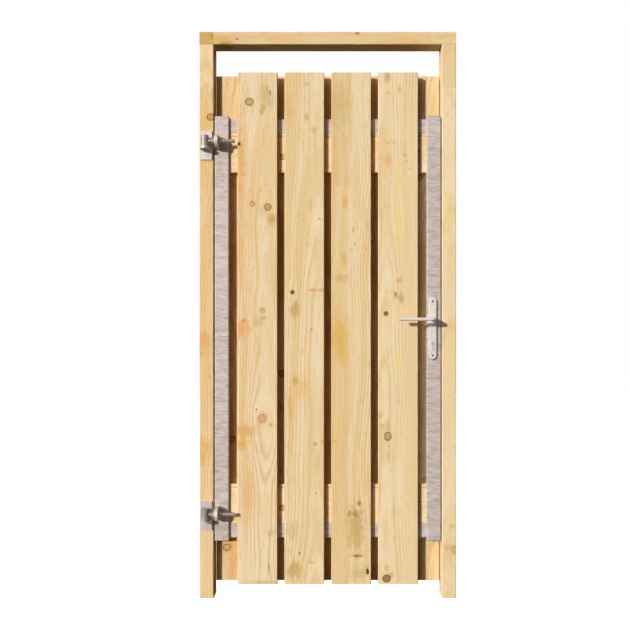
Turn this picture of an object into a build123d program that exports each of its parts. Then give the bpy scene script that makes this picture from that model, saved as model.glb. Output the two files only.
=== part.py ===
from build123d import *
import os
from math import hypot

# Garden gate: a two-layer timber leaf on a galvanised steel frame, hung in a softwood door frame.
# Millimetres. X runs from the hinge side to the lock side, -Y is the front, Z is up.
# The origin is on the floor, midway between the jambs and at the middle of their depth.

# ---- Timber leaf ----
BOARD_LENGTH = 1800.0
BOARD_WIDTH = 140.0
BOARD_THICKNESS = 20.0
BOARD_GAP = 25.0
FRONT_BOARDS = 4
BACK_BOARDS = 5
BOARD_ROUND = 3.0
BOARD_FLOOR_CLEARANCE = 53.0
TIMBER_RAIL_HEIGHT = 140.0
RAIL_ROUND = 2.0

# ---- Steel frame of the leaf ----
STILE_WIDTH = 50.0
STILE_DEPTH = 30.0
STILE_END_INSET = 150.0
STILE_REVEAL = 32.0
BACK_BOARD_INSET = 1.5
STEEL_RAIL_HEIGHT = 50.0
RAIL_DEPTH = 20.0
RAIL_INSET = 8.0
TUBE_WALL = 2.0
TUBE_ROUND = 3.0
CAP_FLANGE = 1.5
CAP_INSERT = 12.0
CAP_FIT = 0.2

# ---- Door frame ----
JAMB_WIDTH = 50.0
JAMB_DEPTH = 68.0
JAMB_ROUND = 3.0
JAMB_EXTENSION = 152.0
LINTEL_HEIGHT = 45.0
TOP_GAP = 102.0
SIDE_GAP = 3.5
LEAF_SETBACK = 2.0
DOWEL_RADIUS = 5.0
DOWEL_LENGTH = 60.0
DOWEL_END_ROOM = 0.5
PAIR_SPACING = 34.0

# ---- Hinges ----
PIN_RADIUS = 8.0
PIN_IN_FRONT = 24.0
PIN_SIDEWAYS = 27.0
PIN_CHAMFER = 1.0
PIN_RECESS = 3.0
BARREL_RADIUS = 13.5
BARREL_HEIGHT = 40.0
ROD_RADIUS = 6.0
ROD_REACH = 106.0
LUG_THICKNESS = 12.0
LUG_INSET = 4.5
LUG_RADIUS = 22.5
NUT_FLATS = 19.0
NUT_THICKNESS = 10.8
UPPER_HINGE_DROP = 95.0
LOWER_HINGE_RISE = 100.0
PLATE_WIDTH = 40.0
PLATE_HEIGHT = 100.0
PLATE_THICKNESS = 5.0
PLATE_SIDEWAYS = 1.5
PLATE_DROP = 10.5
PLATE_SCREWS = ((10.0, 42.0), (-12.0, 34.0), (10.0, -34.0), (-12.0, -43.0))
REST_RADIUS = 17.5
REST_THICKNESS = 7.0
REST_GAP = 0.3

# ---- Lock ----
BACKSET = 29.5
LEVER_RISE = 32.0
CYLINDER_DROP = 85.0
CASE_DEPTH = 47.5
CASE_THICKNESS = 16.0
CASE_HEIGHT = 170.0
CASE_WALL = 1.2
FOREND_LENGTH = 240.0
FOREND_WIDTH = 20.0
FOREND_THICKNESS = 2.0
FOREND_SCREW_PITCH = 220.0
LATCH_RISE = 22.0
LATCH_HEIGHT = 20.0
LATCH_BODY = 22.0
LATCH_THROW = 10.0
BOLT_THICKNESS = 10.0
LATCH_TIP = 2.0
DEAD_BOLT_RISE = 27.0
DEAD_BOLT_HEIGHT = 22.0
DEAD_BOLT_LENGTH = 43.5
DEAD_BOLT_THROW = 14.0
BOLT_FIT = 0.3
FOLLOWER_RADIUS = 8.0
FOLLOWER_ARM = 16.0
ARM_WIDTH = 5.0
ARM_THICKNESS = 6.0
TAIL_HEIGHT = 5.0
POST_WIDTH = 2.8
POST_DROP = 7.0
ARM_GAP = 0.3
SPRING_RADIUS = 3.4
SPRING_WIRE = 1.0
SPRING_TURNS = 6
SPRING_GAP = 0.2

# ---- Profile cylinder ----
PROFILE_RADIUS = 8.5
PROFILE_STEM_RADIUS = 5.0
PROFILE_STEM_DROP = 19.5
CYLINDER_PROUD = 1.0
PLUG_RADIUS = 6.5
CAM_WIDTH = 10.0
CAM_REACH = 15.0
CAM_BIT_WIDTH = 6.0
CAM_ROOM = 0.4
KEYWAY_WIDTH = 2.4
KEYWAY_HEIGHT = 8.0
KEYWAY_DEPTH = 10.0

# ---- Handle set ----
ESCUTCHEON_WIDTH = 26.0
ESCUTCHEON_HEIGHT = 216.0
ESCUTCHEON_THICKNESS = 8.0
ESCUTCHEON_EDGE = 1.5
ESCUTCHEON_BOLT_PITCH = 190.0
BOLT_HEAD_RECESS = 2.0
SPINDLE_SIDE = 8.0
SPINDLE_GRIP = 24.0
NECK_RADIUS = 8.0
NECK_LENGTH = 28.0
NECK_TAPER = 8.0
LEVER_RADIUS = 6.0
LEVER_LENGTH = 122.5
LEVER_REACH = 52.0
LEVER_BEND = 10.0
LEVER_END_ROUND = 1.2
GRUB_RADIUS = 2.5
GRUB_OUT = 12.0
SPINDLE_HOLE_RADIUS = 7.0

# ---- Strike ----
STRIKE_WIDTH = 24.0
STRIKE_LENGTH = 160.0
STRIKE_THICKNESS = 2.0
STRIKE_SCREW_PITCH = 140.0
STRIKE_ROOM = 1.0
POCKET_ROOM = 4.5

# ---- Fits ----
RUNNING_FIT = 0.08
SCREW_FIT = 0.1
SOCKET_FIT = 0.1
PROFILE_FIT = 0.3

# ---- Screws: shank radius, head radius, head height ----
WOOD_SCREW = (2.5, 4.8, 3.0)
FRAME_SCREW = (3.0, 6.0, 4.0)
PLATE_SCREW = (2.5, 4.6, 2.8)
MACHINE_SCREW = (2.5, 4.6, 1.9)
CYLINDER_SCREW = (2.5, 4.6, 1.9)
STRIKE_SCREW = (2.0, 3.8, 1.9)
DRILL_SCREW = (2.4, 4.8, 2.8)
HANDLE_BOLT = (2.5, 3.5, 3.0)
FRAME_SCREW_LENGTH = 120.0
PLATE_SCREW_LENGTH = 40.0
STRIKE_SCREW_LENGTH = 30.0
FOREND_SCREW_LENGTH = 12.0
DRILL_SCREW_PAST_WALL = 8.0
SCREW_ROW_SPACING = 90.0
STILE_SCREW_SPACING = 700.0
TIP_LENGTH = 4.0
BITE_SHARE = 0.75

# ---- Places worked out from the sizes above ----
FRONT_HALF = (FRONT_BOARDS * BOARD_WIDTH + (FRONT_BOARDS - 1) * BOARD_GAP) / 2
LEAF_HALF = FRONT_HALF + STILE_REVEAL + STILE_WIDTH
OPENING_HALF = LEAF_HALF + SIDE_GAP
FRAME_HALF = OPENING_HALF + JAMB_WIDTH
STILE_INNER = LEAF_HALF - STILE_WIDTH
BACK_HALF = LEAF_HALF - BACK_BOARD_INSET
BACK_PITCH = (2 * BACK_HALF - BOARD_WIDTH) / (BACK_BOARDS - 1)

BOARD_TOP = BOARD_FLOOR_CLEARANCE + BOARD_LENGTH
LEAF_MID = BOARD_FLOOR_CLEARANCE + BOARD_LENGTH / 2
STILE_BOTTOM = BOARD_FLOOR_CLEARANCE + STILE_END_INSET
STILE_TOP = BOARD_TOP - STILE_END_INSET
LINTEL_BOTTOM = BOARD_TOP + TOP_GAP
FRAME_TOP = LINTEL_BOTTOM + LINTEL_HEIGHT
SPLICE = LINTEL_BOTTOM - JAMB_EXTENSION
BOTTOM_RAIL = STILE_BOTTOM + RAIL_INSET
TOP_RAIL = STILE_TOP - RAIL_INSET - STEEL_RAIL_HEIGHT
BOTTOM_TIMBER = BOTTOM_RAIL + STEEL_RAIL_HEIGHT
TOP_TIMBER = TOP_RAIL - TIMBER_RAIL_HEIGHT

JAMB_FRONT = -JAMB_DEPTH / 2
STILE_FRONT = JAMB_FRONT + LEAF_SETBACK
STILE_BACK = STILE_FRONT + STILE_DEPTH
RAIL_FRONT = STILE_BACK - RAIL_DEPTH
BOARD_FACE = RAIL_FRONT - BOARD_THICKNESS
LEAF_BACK = STILE_BACK + BOARD_THICKNESS
LOCK_Y = (STILE_FRONT + STILE_BACK) / 2

PIN_X = -(OPENING_HALF + PIN_SIDEWAYS)
PIN_Y = JAMB_FRONT - PIN_IN_FRONT
LUG_LEFT = -LEAF_HALF + LUG_INSET
HINGES = {"upper": STILE_TOP - UPPER_HINGE_DROP, "lower": STILE_BOTTOM + LOWER_HINGE_RISE}

LEVER_X = LEAF_HALF - BACKSET
LEVER_Z = LEAF_MID + LEVER_RISE
CYLINDER_Z = LEVER_Z - CYLINDER_DROP
LATCH_Z = LEVER_Z + LATCH_RISE
DEAD_BOLT_Z = CYLINDER_Z + DEAD_BOLT_RISE
CASE_LEFT = LEAF_HALF - CASE_DEPTH
FOREND_FACE = LEAF_HALF + FOREND_THICKNESS
FRONT_PLATE_FACE = STILE_FRONT - ESCUTCHEON_THICKNESS
BACK_PLATE_FACE = LEAF_BACK + ESCUTCHEON_THICKNESS
STRIKE_Z = (LATCH_Z + DEAD_BOLT_Z) / 2

FRONT_BOARD_X = [(i - (FRONT_BOARDS - 1) / 2) * (BOARD_WIDTH + BOARD_GAP) for i in range(FRONT_BOARDS)]
BACK_BOARD_X = [(i - (BACK_BOARDS - 1) / 2) * BACK_PITCH for i in range(BACK_BOARDS)]
BACK_GAP_X = [(a + b) / 2 for a, b in zip(BACK_BOARD_X, BACK_BOARD_X[1:])]
TIMBER_ROWS = [BOTTOM_TIMBER + TIMBER_RAIL_HEIGHT / 2, TOP_TIMBER + TIMBER_RAIL_HEIGHT / 2]
STEEL_ROWS = [BOTTOM_RAIL + STEEL_RAIL_HEIGHT / 2, TOP_RAIL + STEEL_RAIL_HEIGHT / 2]
SCREW_ROWS = [z + side * SCREW_ROW_SPACING / 2 for z in TIMBER_ROWS for side in (-1, 1)]

AT_START = (Align.CENTER, Align.CENTER, Align.MIN)
TOWARDS_FRONT = (0, -1, 0)
TOWARDS_BACK = (0, 1, 0)
TOWARDS_LOCK = (1, 0, 0)
TOWARDS_HINGE = (-1, 0, 0)
DOWN = (0, 0, -1)

parts = {}


# ---- Shape helpers ----
def block(x, y, z):
    """A box between the two values given along each axis."""
    centre = [(a + b) / 2 for a, b in (x, y, z)]
    return Pos(*centre) * Box(x[1] - x[0], y[1] - y[0], z[1] - z[0])


def rod(start, direction, length, radius):
    """A cylinder that begins at a point and runs along a direction."""
    return Plane(origin=start, z_dir=direction) * Cylinder(radius, length, align=AT_START)


def through_y(sketch, x, z, y_from, y_to):
    """A sketch drawn in X and Z, extruded from one depth to another."""
    face = Plane(origin=(x, y_from, z), x_dir=(1, 0, 0), z_dir=(0, 1, 0))
    return extrude(face * mirror(sketch, Plane.XZ), y_to - y_from)


def group(shapes):
    """Several separate solids kept in one node."""
    return Compound([solid for shape in shapes for solid in shape.solids()])


def cut(shape, tools):
    """The shape with every tool in a list taken away."""
    for tool in tools:
        shape = shape - tool
    return shape


def cross_recess(place, radius, depth):
    """The driver recess in the middle of a screw head."""
    width = radius / 4
    bar = Box(2 * radius, width, depth, align=AT_START)
    return place * (bar + Rot(0, 0, 90) * bar)


def flat_screw(head, direction, length, sizes):
    """A countersunk screw whose head lies flush at a point."""
    shank, rim, height = sizes
    place = Plane(origin=head, z_dir=direction)
    cone = Cone(rim, shank, height, align=AT_START)
    stem = Pos(0, 0, height) * Cylinder(shank, length - height - TIP_LENGTH, align=AT_START)
    tip = Pos(0, 0, length - TIP_LENGTH) * Cone(shank, shank / 5, TIP_LENGTH, align=AT_START)
    return place * (cone + stem + tip) - cross_recess(place, rim / 2, height / 2)


def flat_screw_hole(head, direction, length, sizes):
    """The countersunk hole that a flat screw sits in, with its fit all round."""
    shank, rim, height = sizes
    place = Plane(origin=head, z_dir=direction)
    cone = Cone(rim + SCREW_FIT, shank + SCREW_FIT, height, align=AT_START)
    stem = Cylinder(shank + SCREW_FIT, length + SCREW_FIT, align=AT_START)
    return place * (cone + stem)


def pan_screw(seat, direction, length, sizes):
    """A screw with a domed head that stands on a surface."""
    shank, rim, height = sizes
    place = Plane(origin=seat, z_dir=direction)
    head = Pos(0, 0, -height) * Cylinder(rim, height, align=AT_START)
    head = fillet(head.edges().group_by(Axis.Z)[0], height / 2)
    stem = Cylinder(shank, length - TIP_LENGTH, align=AT_START)
    tip = Pos(0, 0, length - TIP_LENGTH) * Cone(shank, shank / 5, TIP_LENGTH, align=AT_START)
    recess_place = place * Pos(0, 0, -height)
    return place * (head + stem + tip) - cross_recess(recess_place, rim / 2, height / 2)


def rounded_bar(x, y, z, radius, axis):
    """A planed timber bar with its four long edges rounded."""
    bar = block(x, y, z)
    return fillet(bar.edges().filter_by(axis), radius)


def tube(width, depth, length):
    """A rectangular steel tube that stands along Z on the XY plane."""
    outside = RectangleRounded(width, depth, TUBE_ROUND)
    inside = RectangleRounded(width - 2 * TUBE_WALL, depth - 2 * TUBE_WALL, TUBE_ROUND - TUBE_WALL)
    return extrude(outside - inside, length)


def profile(grow=0.0):
    """The outline of a profile cylinder about the axis of its plug."""
    head = Circle(PROFILE_RADIUS + grow)
    stem = Pos(0, -PROFILE_STEM_DROP / 2) * Rectangle(2 * (PROFILE_STEM_RADIUS + grow), PROFILE_STEM_DROP)
    foot = Pos(0, -PROFILE_STEM_DROP) * Circle(PROFILE_STEM_RADIUS + grow)
    return head + stem + foot


# ---- Door frame ----
def wood_pair(x):
    """The two places across the depth of a jamb where it is joined."""
    return [(x, side * PAIR_SPACING / 2) for side in (-1, 1)]


def strike_pockets():
    """The room in the lock jamb for the strike plate, the latch and the dead bolt."""
    plate_y = (LOCK_Y - STRIKE_WIDTH / 2 - SCREW_FIT, LOCK_Y + STRIKE_WIDTH / 2 + SCREW_FIT)
    plate_z = (STRIKE_Z - STRIKE_LENGTH / 2 - SCREW_FIT, STRIKE_Z + STRIKE_LENGTH / 2 + SCREW_FIT)
    recess = block((OPENING_HALF - 1, OPENING_HALF + STRIKE_THICKNESS), plate_y, plate_z)
    latch = strike_hole(LATCH_Z, LATCH_HEIGHT, FOREND_FACE + LATCH_THROW + POCKET_ROOM)
    bolt = strike_hole(DEAD_BOLT_Z, DEAD_BOLT_HEIGHT, FOREND_FACE + DEAD_BOLT_THROW + POCKET_ROOM)
    return [recess, latch, bolt]


def strike_hole(z, height, depth):
    """One hole in the strike plate and the jamb behind it."""
    y = (LOCK_Y - BOLT_THICKNESS / 2 - STRIKE_ROOM, LOCK_Y + BOLT_THICKNESS / 2 + STRIKE_ROOM)
    return block((OPENING_HALF - 1, depth), y, (z - height / 2 - STRIKE_ROOM, z + height / 2 + STRIKE_ROOM))


def strike_screw_places():
    return [(OPENING_HALF, LOCK_Y, STRIKE_Z + side * STRIKE_SCREW_PITCH / 2) for side in (-1, 1)]


def plate_screw_places(rod_z):
    x = PIN_X + PLATE_SIDEWAYS
    z = rod_z - PLATE_DROP
    return [(x + dx, JAMB_FRONT - PLATE_THICKNESS, z + dz) for dx, dz in PLATE_SCREWS]


def make_door_frame():
    depth = (JAMB_FRONT, -JAMB_FRONT)
    for name, side in (("left", -1), ("right", 1)):
        x = sorted((side * OPENING_HALF, side * FRAME_HALF))
        middle = side * (OPENING_HALF + JAMB_WIDTH / 2)
        jamb = rounded_bar(x, depth, (0, SPLICE), JAMB_ROUND, Axis.Z)
        extension = rounded_bar(x, depth, (SPLICE, LINTEL_BOTTOM), JAMB_ROUND, Axis.Z)
        dowel_holes = [
            rod((px, py, SPLICE - DOWEL_LENGTH / 2 - DOWEL_END_ROOM), (0, 0, 1),
                DOWEL_LENGTH + 2 * DOWEL_END_ROOM, DOWEL_RADIUS + SCREW_FIT)
            for px, py in wood_pair(middle)
        ]
        top_holes = [
            flat_screw_hole((px, py, FRAME_TOP), DOWN, FRAME_SCREW_LENGTH, FRAME_SCREW)
            for px, py in wood_pair(middle)
        ]
        if side < 0:
            hinge_holes = [
                flat_screw_hole(place, TOWARDS_BACK, PLATE_SCREW_LENGTH, PLATE_SCREW)
                for rod_z in HINGES.values() for place in plate_screw_places(rod_z)
            ]
            jamb = cut(jamb, hinge_holes)
        else:
            strike_holes = [
                flat_screw_hole(place, TOWARDS_LOCK, STRIKE_SCREW_LENGTH, STRIKE_SCREW)
                for place in strike_screw_places()
            ]
            jamb = cut(jamb, strike_pockets() + strike_holes)
        parts[f"{name}_jamb"] = cut(jamb, dowel_holes)
        parts[f"{name}_jamb_extension"] = cut(extension, dowel_holes + top_holes)

    middles = [side * (OPENING_HALF + JAMB_WIDTH / 2) for side in (-1, 1)]
    joints = [place for middle in middles for place in wood_pair(middle)]
    lintel = rounded_bar((-FRAME_HALF, FRAME_HALF), depth, (LINTEL_BOTTOM, FRAME_TOP), JAMB_ROUND, Axis.X)
    heads = [(x, y, FRAME_TOP) for x, y in joints]
    lintel_holes = [flat_screw_hole(head, DOWN, FRAME_SCREW_LENGTH, FRAME_SCREW) for head in heads]
    parts["lintel"] = cut(lintel, lintel_holes)
    parts["lintel_screws"] = group(
        flat_screw(head, DOWN, FRAME_SCREW_LENGTH, FRAME_SCREW) for head in heads
    )
    parts["jamb_dowels"] = group(
        rod((x, y, SPLICE - DOWEL_LENGTH / 2), (0, 0, 1), DOWEL_LENGTH, DOWEL_RADIUS) for x, y in joints
    )


def make_strike():
    x = (OPENING_HALF, OPENING_HALF + STRIKE_THICKNESS)
    y = (LOCK_Y - STRIKE_WIDTH / 2, LOCK_Y + STRIKE_WIDTH / 2)
    z = (STRIKE_Z - STRIKE_LENGTH / 2, STRIKE_Z + STRIKE_LENGTH / 2)
    holes = strike_pockets()[1:]
    for place in strike_screw_places():
        holes.append(flat_screw_hole(place, TOWARDS_LOCK, STRIKE_SCREW_LENGTH, STRIKE_SCREW))
    parts["strike_plate"] = cut(block(x, y, z), holes)
    parts["strike_screws"] = group(
        flat_screw(place, TOWARDS_LOCK, STRIKE_SCREW_LENGTH, STRIKE_SCREW)
        for place in strike_screw_places()
    )


# ---- Hinges ----
def make_pintle(name, rod_z):
    """The wall plate with its rest and pin, fixed to the hinge jamb."""
    centre_x = PIN_X + PLATE_SIDEWAYS
    centre_z = rod_z - PLATE_DROP
    plate = block(
        (centre_x - PLATE_WIDTH / 2, centre_x + PLATE_WIDTH / 2),
        (JAMB_FRONT - PLATE_THICKNESS, JAMB_FRONT),
        (centre_z - PLATE_HEIGHT / 2, centre_z + PLATE_HEIGHT / 2),
    )
    rest_top = rod_z - BARREL_HEIGHT / 2 - REST_GAP
    rest_bottom = rest_top - REST_THICKNESS
    disc = rod((PIN_X, PIN_Y, rest_bottom), (0, 0, 1), REST_THICKNESS, REST_RADIUS)
    arm = block(
        (PIN_X - REST_RADIUS, PIN_X + REST_RADIUS),
        (PIN_Y, JAMB_FRONT - PLATE_THICKNESS),
        (rest_bottom, rest_top),
    )
    pin_hole = rod((PIN_X, PIN_Y, rest_bottom), (0, 0, 1), REST_THICKNESS, PIN_RADIUS + SOCKET_FIT / 2)
    screw_holes = [
        flat_screw_hole(place, TOWARDS_BACK, PLATE_SCREW_LENGTH, PLATE_SCREW)
        for place in plate_screw_places(rod_z)
    ]
    parts[f"{name}_pintle_plate"] = cut(plate + disc + arm, [pin_hole] + screw_holes)
    pin_bottom = rest_bottom + PIN_RECESS
    pin_length = rod_z + BARREL_HEIGHT / 2 - pin_bottom
    pin = rod((PIN_X, PIN_Y, pin_bottom), (0, 0, 1), pin_length, PIN_RADIUS)
    parts[f"{name}_pintle_pin"] = chamfer(pin.edges().group_by(Axis.Z)[-1], PIN_CHAMFER)


def make_eye_bolt(name, rod_z):
    """The barrel that turns on the pin, with its threaded rod."""
    barrel = rod((PIN_X, PIN_Y, rod_z - BARREL_HEIGHT / 2), (0, 0, 1), BARREL_HEIGHT, BARREL_RADIUS)
    barrel = chamfer(barrel.edges().filter_by(GeomType.CIRCLE), PIN_CHAMFER)
    shank = rod((PIN_X, PIN_Y, rod_z), TOWARDS_LOCK, ROD_REACH, ROD_RADIUS)
    shank = chamfer(shank.edges().group_by(Axis.X)[-1], PIN_CHAMFER)
    bore = rod((PIN_X, PIN_Y, rod_z - BARREL_HEIGHT / 2), (0, 0, 1), BARREL_HEIGHT, PIN_RADIUS + RUNNING_FIT)
    parts[f"{name}_eye_bolt"] = barrel + shank - bore


def make_lug(name, rod_z):
    """The drilled lug welded to the stile, which carries the threaded rod."""
    foot = block(
        (LUG_LEFT, LUG_LEFT + LUG_THICKNESS), (PIN_Y, STILE_FRONT), (rod_z - LUG_RADIUS, rod_z + LUG_RADIUS)
    )
    nose = rod((LUG_LEFT, PIN_Y, rod_z), TOWARDS_LOCK, LUG_THICKNESS, LUG_RADIUS)
    hole = rod((LUG_LEFT, PIN_Y, rod_z), TOWARDS_LOCK, LUG_THICKNESS, ROD_RADIUS + SCREW_FIT)
    parts[f"{name}_hinge_lug"] = foot + nose - hole


def nut(x, z):
    """A hexagon nut on the rod, with a corner up and its corners turned off."""
    place = Plane(origin=(x, PIN_Y, z), x_dir=(0, 0, 1), z_dir=TOWARDS_LOCK)
    hexagon = extrude(RegularPolygon(NUT_FLATS / 2, 6, major_radius=False), NUT_THICKNESS)
    turned = Cylinder(NUT_FLATS / 2 * hypot(1, 0.5), NUT_THICKNESS, align=AT_START)
    turned = chamfer(turned.edges().filter_by(GeomType.CIRCLE), PIN_CHAMFER)
    hole = Cylinder(ROD_RADIUS + SOCKET_FIT / 2, NUT_THICKNESS, align=AT_START)
    return place * ((hexagon & turned) - hole)


def make_hinges():
    for name, rod_z in HINGES.items():
        make_pintle(name, rod_z)
        make_eye_bolt(name, rod_z)
        make_lug(name, rod_z)
        faces = (LUG_LEFT - NUT_THICKNESS, LUG_LEFT + LUG_THICKNESS)
        parts[f"{name}_hinge_nuts"] = group(nut(x, rod_z) for x in faces)
    parts["pintle_plate_screws"] = group(
        flat_screw(place, TOWARDS_BACK, PLATE_SCREW_LENGTH, PLATE_SCREW)
        for rod_z in HINGES.values() for place in plate_screw_places(rod_z)
    )


# ---- Leaf ----
def rail_screw_heads():
    """Where the screws enter the back of the timber rails, in the gaps between the back boards."""
    return [(x, STILE_BACK, z) for x in BACK_GAP_X for z in SCREW_ROWS]


def back_board_heads(x):
    return [(x, LEAF_BACK, z) for z in SCREW_ROWS]


def drill_screw_seats(x):
    """Where the self-drilling screws hold a back board to the steel rails and, at the sides, the stiles."""
    seats = [(x, LEAF_BACK, z) for z in STEEL_ROWS]
    if abs(x) == max(BACK_BOARD_X):
        stile_x = (LEAF_HALF - STILE_WIDTH / 2) * (1 if x > 0 else -1)
        seats += [(stile_x, LEAF_BACK, LEAF_MID + side * STILE_SCREW_SPACING / 2) for side in (-1, 1)]
    return seats


def front_screw_length():
    return RAIL_DEPTH + BITE_SHARE * BOARD_THICKNESS


def back_screw_length():
    return BOARD_THICKNESS + BITE_SHARE * RAIL_DEPTH


def drill_screw_length():
    return BOARD_THICKNESS + TUBE_WALL + DRILL_SCREW_PAST_WALL


def drill_screw_hole(seat):
    return rod(seat, TOWARDS_FRONT, drill_screw_length() + SCREW_FIT, DRILL_SCREW[0] + SCREW_FIT)


def lock_cutouts():
    """What the handle set and the cylinder pass through in the stile and the board behind it."""
    depth = (BOARD_FACE, LEAF_BACK + 1)
    spindle = through_y(Circle(SPINDLE_HOLE_RADIUS), LEVER_X, LEVER_Z, *depth)
    cylinder = through_y(profile(PROFILE_FIT), LEVER_X, CYLINDER_Z, *depth)
    bolts = [
        through_y(Circle(HANDLE_BOLT[0] + SCREW_FIT), LEVER_X, z, *depth) for z in handle_bolt_rows()
    ]
    return [spindle, cylinder] + bolts


def make_boards():
    for number, x in enumerate(FRONT_BOARD_X, 1):
        board = rounded_bar(
            (x - BOARD_WIDTH / 2, x + BOARD_WIDTH / 2), (BOARD_FACE, RAIL_FRONT),
            (BOARD_FLOOR_CLEARANCE, BOARD_TOP), BOARD_ROUND, Axis.Z,
        )
        holes = [
            flat_screw_hole(head, TOWARDS_FRONT, front_screw_length(), WOOD_SCREW)
            for head in rail_screw_heads() if abs(head[0] - x) < BOARD_WIDTH / 2
        ]
        parts[f"front_board_{number}"] = cut(board, holes)
    for number, x in enumerate(BACK_BOARD_X, 1):
        board = rounded_bar(
            (x - BOARD_WIDTH / 2, x + BOARD_WIDTH / 2), (STILE_BACK, LEAF_BACK),
            (BOARD_FLOOR_CLEARANCE, BOARD_TOP), BOARD_ROUND, Axis.Z,
        )
        holes = [
            flat_screw_hole(head, TOWARDS_FRONT, back_screw_length(), WOOD_SCREW)
            for head in back_board_heads(x)
        ]
        holes += [drill_screw_hole(seat) for seat in drill_screw_seats(x)]
        if number == BACK_BOARDS:
            holes += lock_cutouts()
        parts[f"back_board_{number}"] = cut(board, holes)


def make_rails():
    span = (-STILE_INNER, STILE_INNER)
    for name, bottom in (("bottom", BOTTOM_TIMBER), ("top", TOP_TIMBER)):
        rail = rounded_bar(
            span, (RAIL_FRONT, STILE_BACK), (bottom, bottom + TIMBER_RAIL_HEIGHT), RAIL_ROUND, Axis.X
        )
        holes = [
            flat_screw_hole(head, TOWARDS_FRONT, front_screw_length(), WOOD_SCREW)
            for head in rail_screw_heads()
        ]
        holes += [
            flat_screw_hole(head, TOWARDS_FRONT, back_screw_length(), WOOD_SCREW)
            for x in BACK_BOARD_X for head in back_board_heads(x)
        ]
        in_reach = [hole for hole in holes if bottom < hole.center().Z < bottom + TIMBER_RAIL_HEIGHT]
        parts[f"{name}_timber_rail"] = cut(rail, in_reach)
    for name, row in zip(("bottom", "top"), STEEL_ROWS):
        place = Plane(
            origin=(-STILE_INNER, (RAIL_FRONT + STILE_BACK) / 2, row), x_dir=(0, 0, 1), z_dir=TOWARDS_LOCK
        )
        rail = place * tube(STEEL_RAIL_HEIGHT, RAIL_DEPTH, 2 * STILE_INNER)
        holes = [
            drill_screw_hole(seat) for x in BACK_BOARD_X for seat in drill_screw_seats(x)
            if seat[2] == row and abs(seat[0]) < STILE_INNER
        ]
        parts[f"{name}_steel_rail"] = cut(rail, holes)


def make_stiles():
    length = STILE_TOP - STILE_BOTTOM - 2 * CAP_FLANGE
    caps = []
    for name, side in (("hinge", -1), ("lock", 1)):
        x = side * (LEAF_HALF - STILE_WIDTH / 2)
        stile = Pos(x, LOCK_Y, STILE_BOTTOM + CAP_FLANGE) * tube(STILE_WIDTH, STILE_DEPTH, length)
        outer_board = BACK_BOARD_X[0] if side < 0 else BACK_BOARD_X[-1]
        holes = [
            drill_screw_hole(seat) for seat in drill_screw_seats(outer_board) if abs(seat[0]) > STILE_INNER
        ]
        if side > 0:
            holes += lock_cutouts() + [case_slot()] + forend_screw_holes()
        parts[f"{name}_stile"] = cut(stile, holes)
        caps += [end_cap(x, STILE_BOTTOM, 1), end_cap(x, STILE_TOP, -1)]
    parts["stile_end_caps"] = group(caps)


def end_cap(x, z, inward):
    """A push-in plug that closes one end of a stile."""
    flange = extrude(RectangleRounded(STILE_WIDTH, STILE_DEPTH, TUBE_ROUND), inward * CAP_FLANGE)
    width = STILE_WIDTH - 2 * TUBE_WALL - 2 * CAP_FIT
    depth = STILE_DEPTH - 2 * TUBE_WALL - 2 * CAP_FIT
    insert = extrude(RectangleRounded(width, depth, TUBE_ROUND - TUBE_WALL), inward * (CAP_FLANGE + CAP_INSERT))
    return Pos(x, LOCK_Y, z) * (flange + insert)


def make_leaf_screws():
    parts["front_board_screws"] = group(
        flat_screw(head, TOWARDS_FRONT, front_screw_length(), WOOD_SCREW) for head in rail_screw_heads()
    )
    parts["back_board_screws"] = group(
        flat_screw(head, TOWARDS_FRONT, back_screw_length(), WOOD_SCREW)
        for x in BACK_BOARD_X for head in back_board_heads(x)
    )
    parts["steel_frame_screws"] = group(
        pan_screw(seat, TOWARDS_FRONT, drill_screw_length(), DRILL_SCREW)
        for x in BACK_BOARD_X for seat in drill_screw_seats(x)
    )


# ---- Lock ----
def case_slot():
    """The mortise in the outer wall of the lock stile."""
    y = (LOCK_Y - CASE_THICKNESS / 2 - BOLT_FIT, LOCK_Y + CASE_THICKNESS / 2 + BOLT_FIT)
    z = (LEAF_MID - CASE_HEIGHT / 2 - BOLT_FIT, LEAF_MID + CASE_HEIGHT / 2 + BOLT_FIT)
    return block((LEAF_HALF - 2 * TUBE_WALL, LEAF_HALF + 1), y, z)


def forend_screw_places():
    return [(FOREND_FACE, LOCK_Y, LEAF_MID + side * FOREND_SCREW_PITCH / 2) for side in (-1, 1)]


def forend_screw_holes():
    return [
        flat_screw_hole(place, TOWARDS_HINGE, FOREND_SCREW_LENGTH, MACHINE_SCREW)
        for place in forend_screw_places()
    ]


def cylinder_screw_place():
    """Where the long screw enters the forend, level with the bridge of the cylinder."""
    bridge_top = CYLINDER_Z - CAM_REACH - CAM_ROOM
    bridge_bottom = CYLINDER_Z - PROFILE_STEM_DROP - PROFILE_STEM_RADIUS
    return (FOREND_FACE, LOCK_Y, (bridge_top + bridge_bottom) / 2)


def cylinder_screw_length():
    return FOREND_THICKNESS + BACKSET + PROFILE_STEM_RADIUS - 1


def bolt_hole(z, height):
    """The hole in the forend that a bolt slides through."""
    y = (LOCK_Y - BOLT_THICKNESS / 2 - BOLT_FIT, LOCK_Y + BOLT_THICKNESS / 2 + BOLT_FIT)
    return block(
        (LEAF_HALF - 1, FOREND_FACE + 1), y, (z - height / 2 - BOLT_FIT, z + height / 2 + BOLT_FIT)
    )


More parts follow.
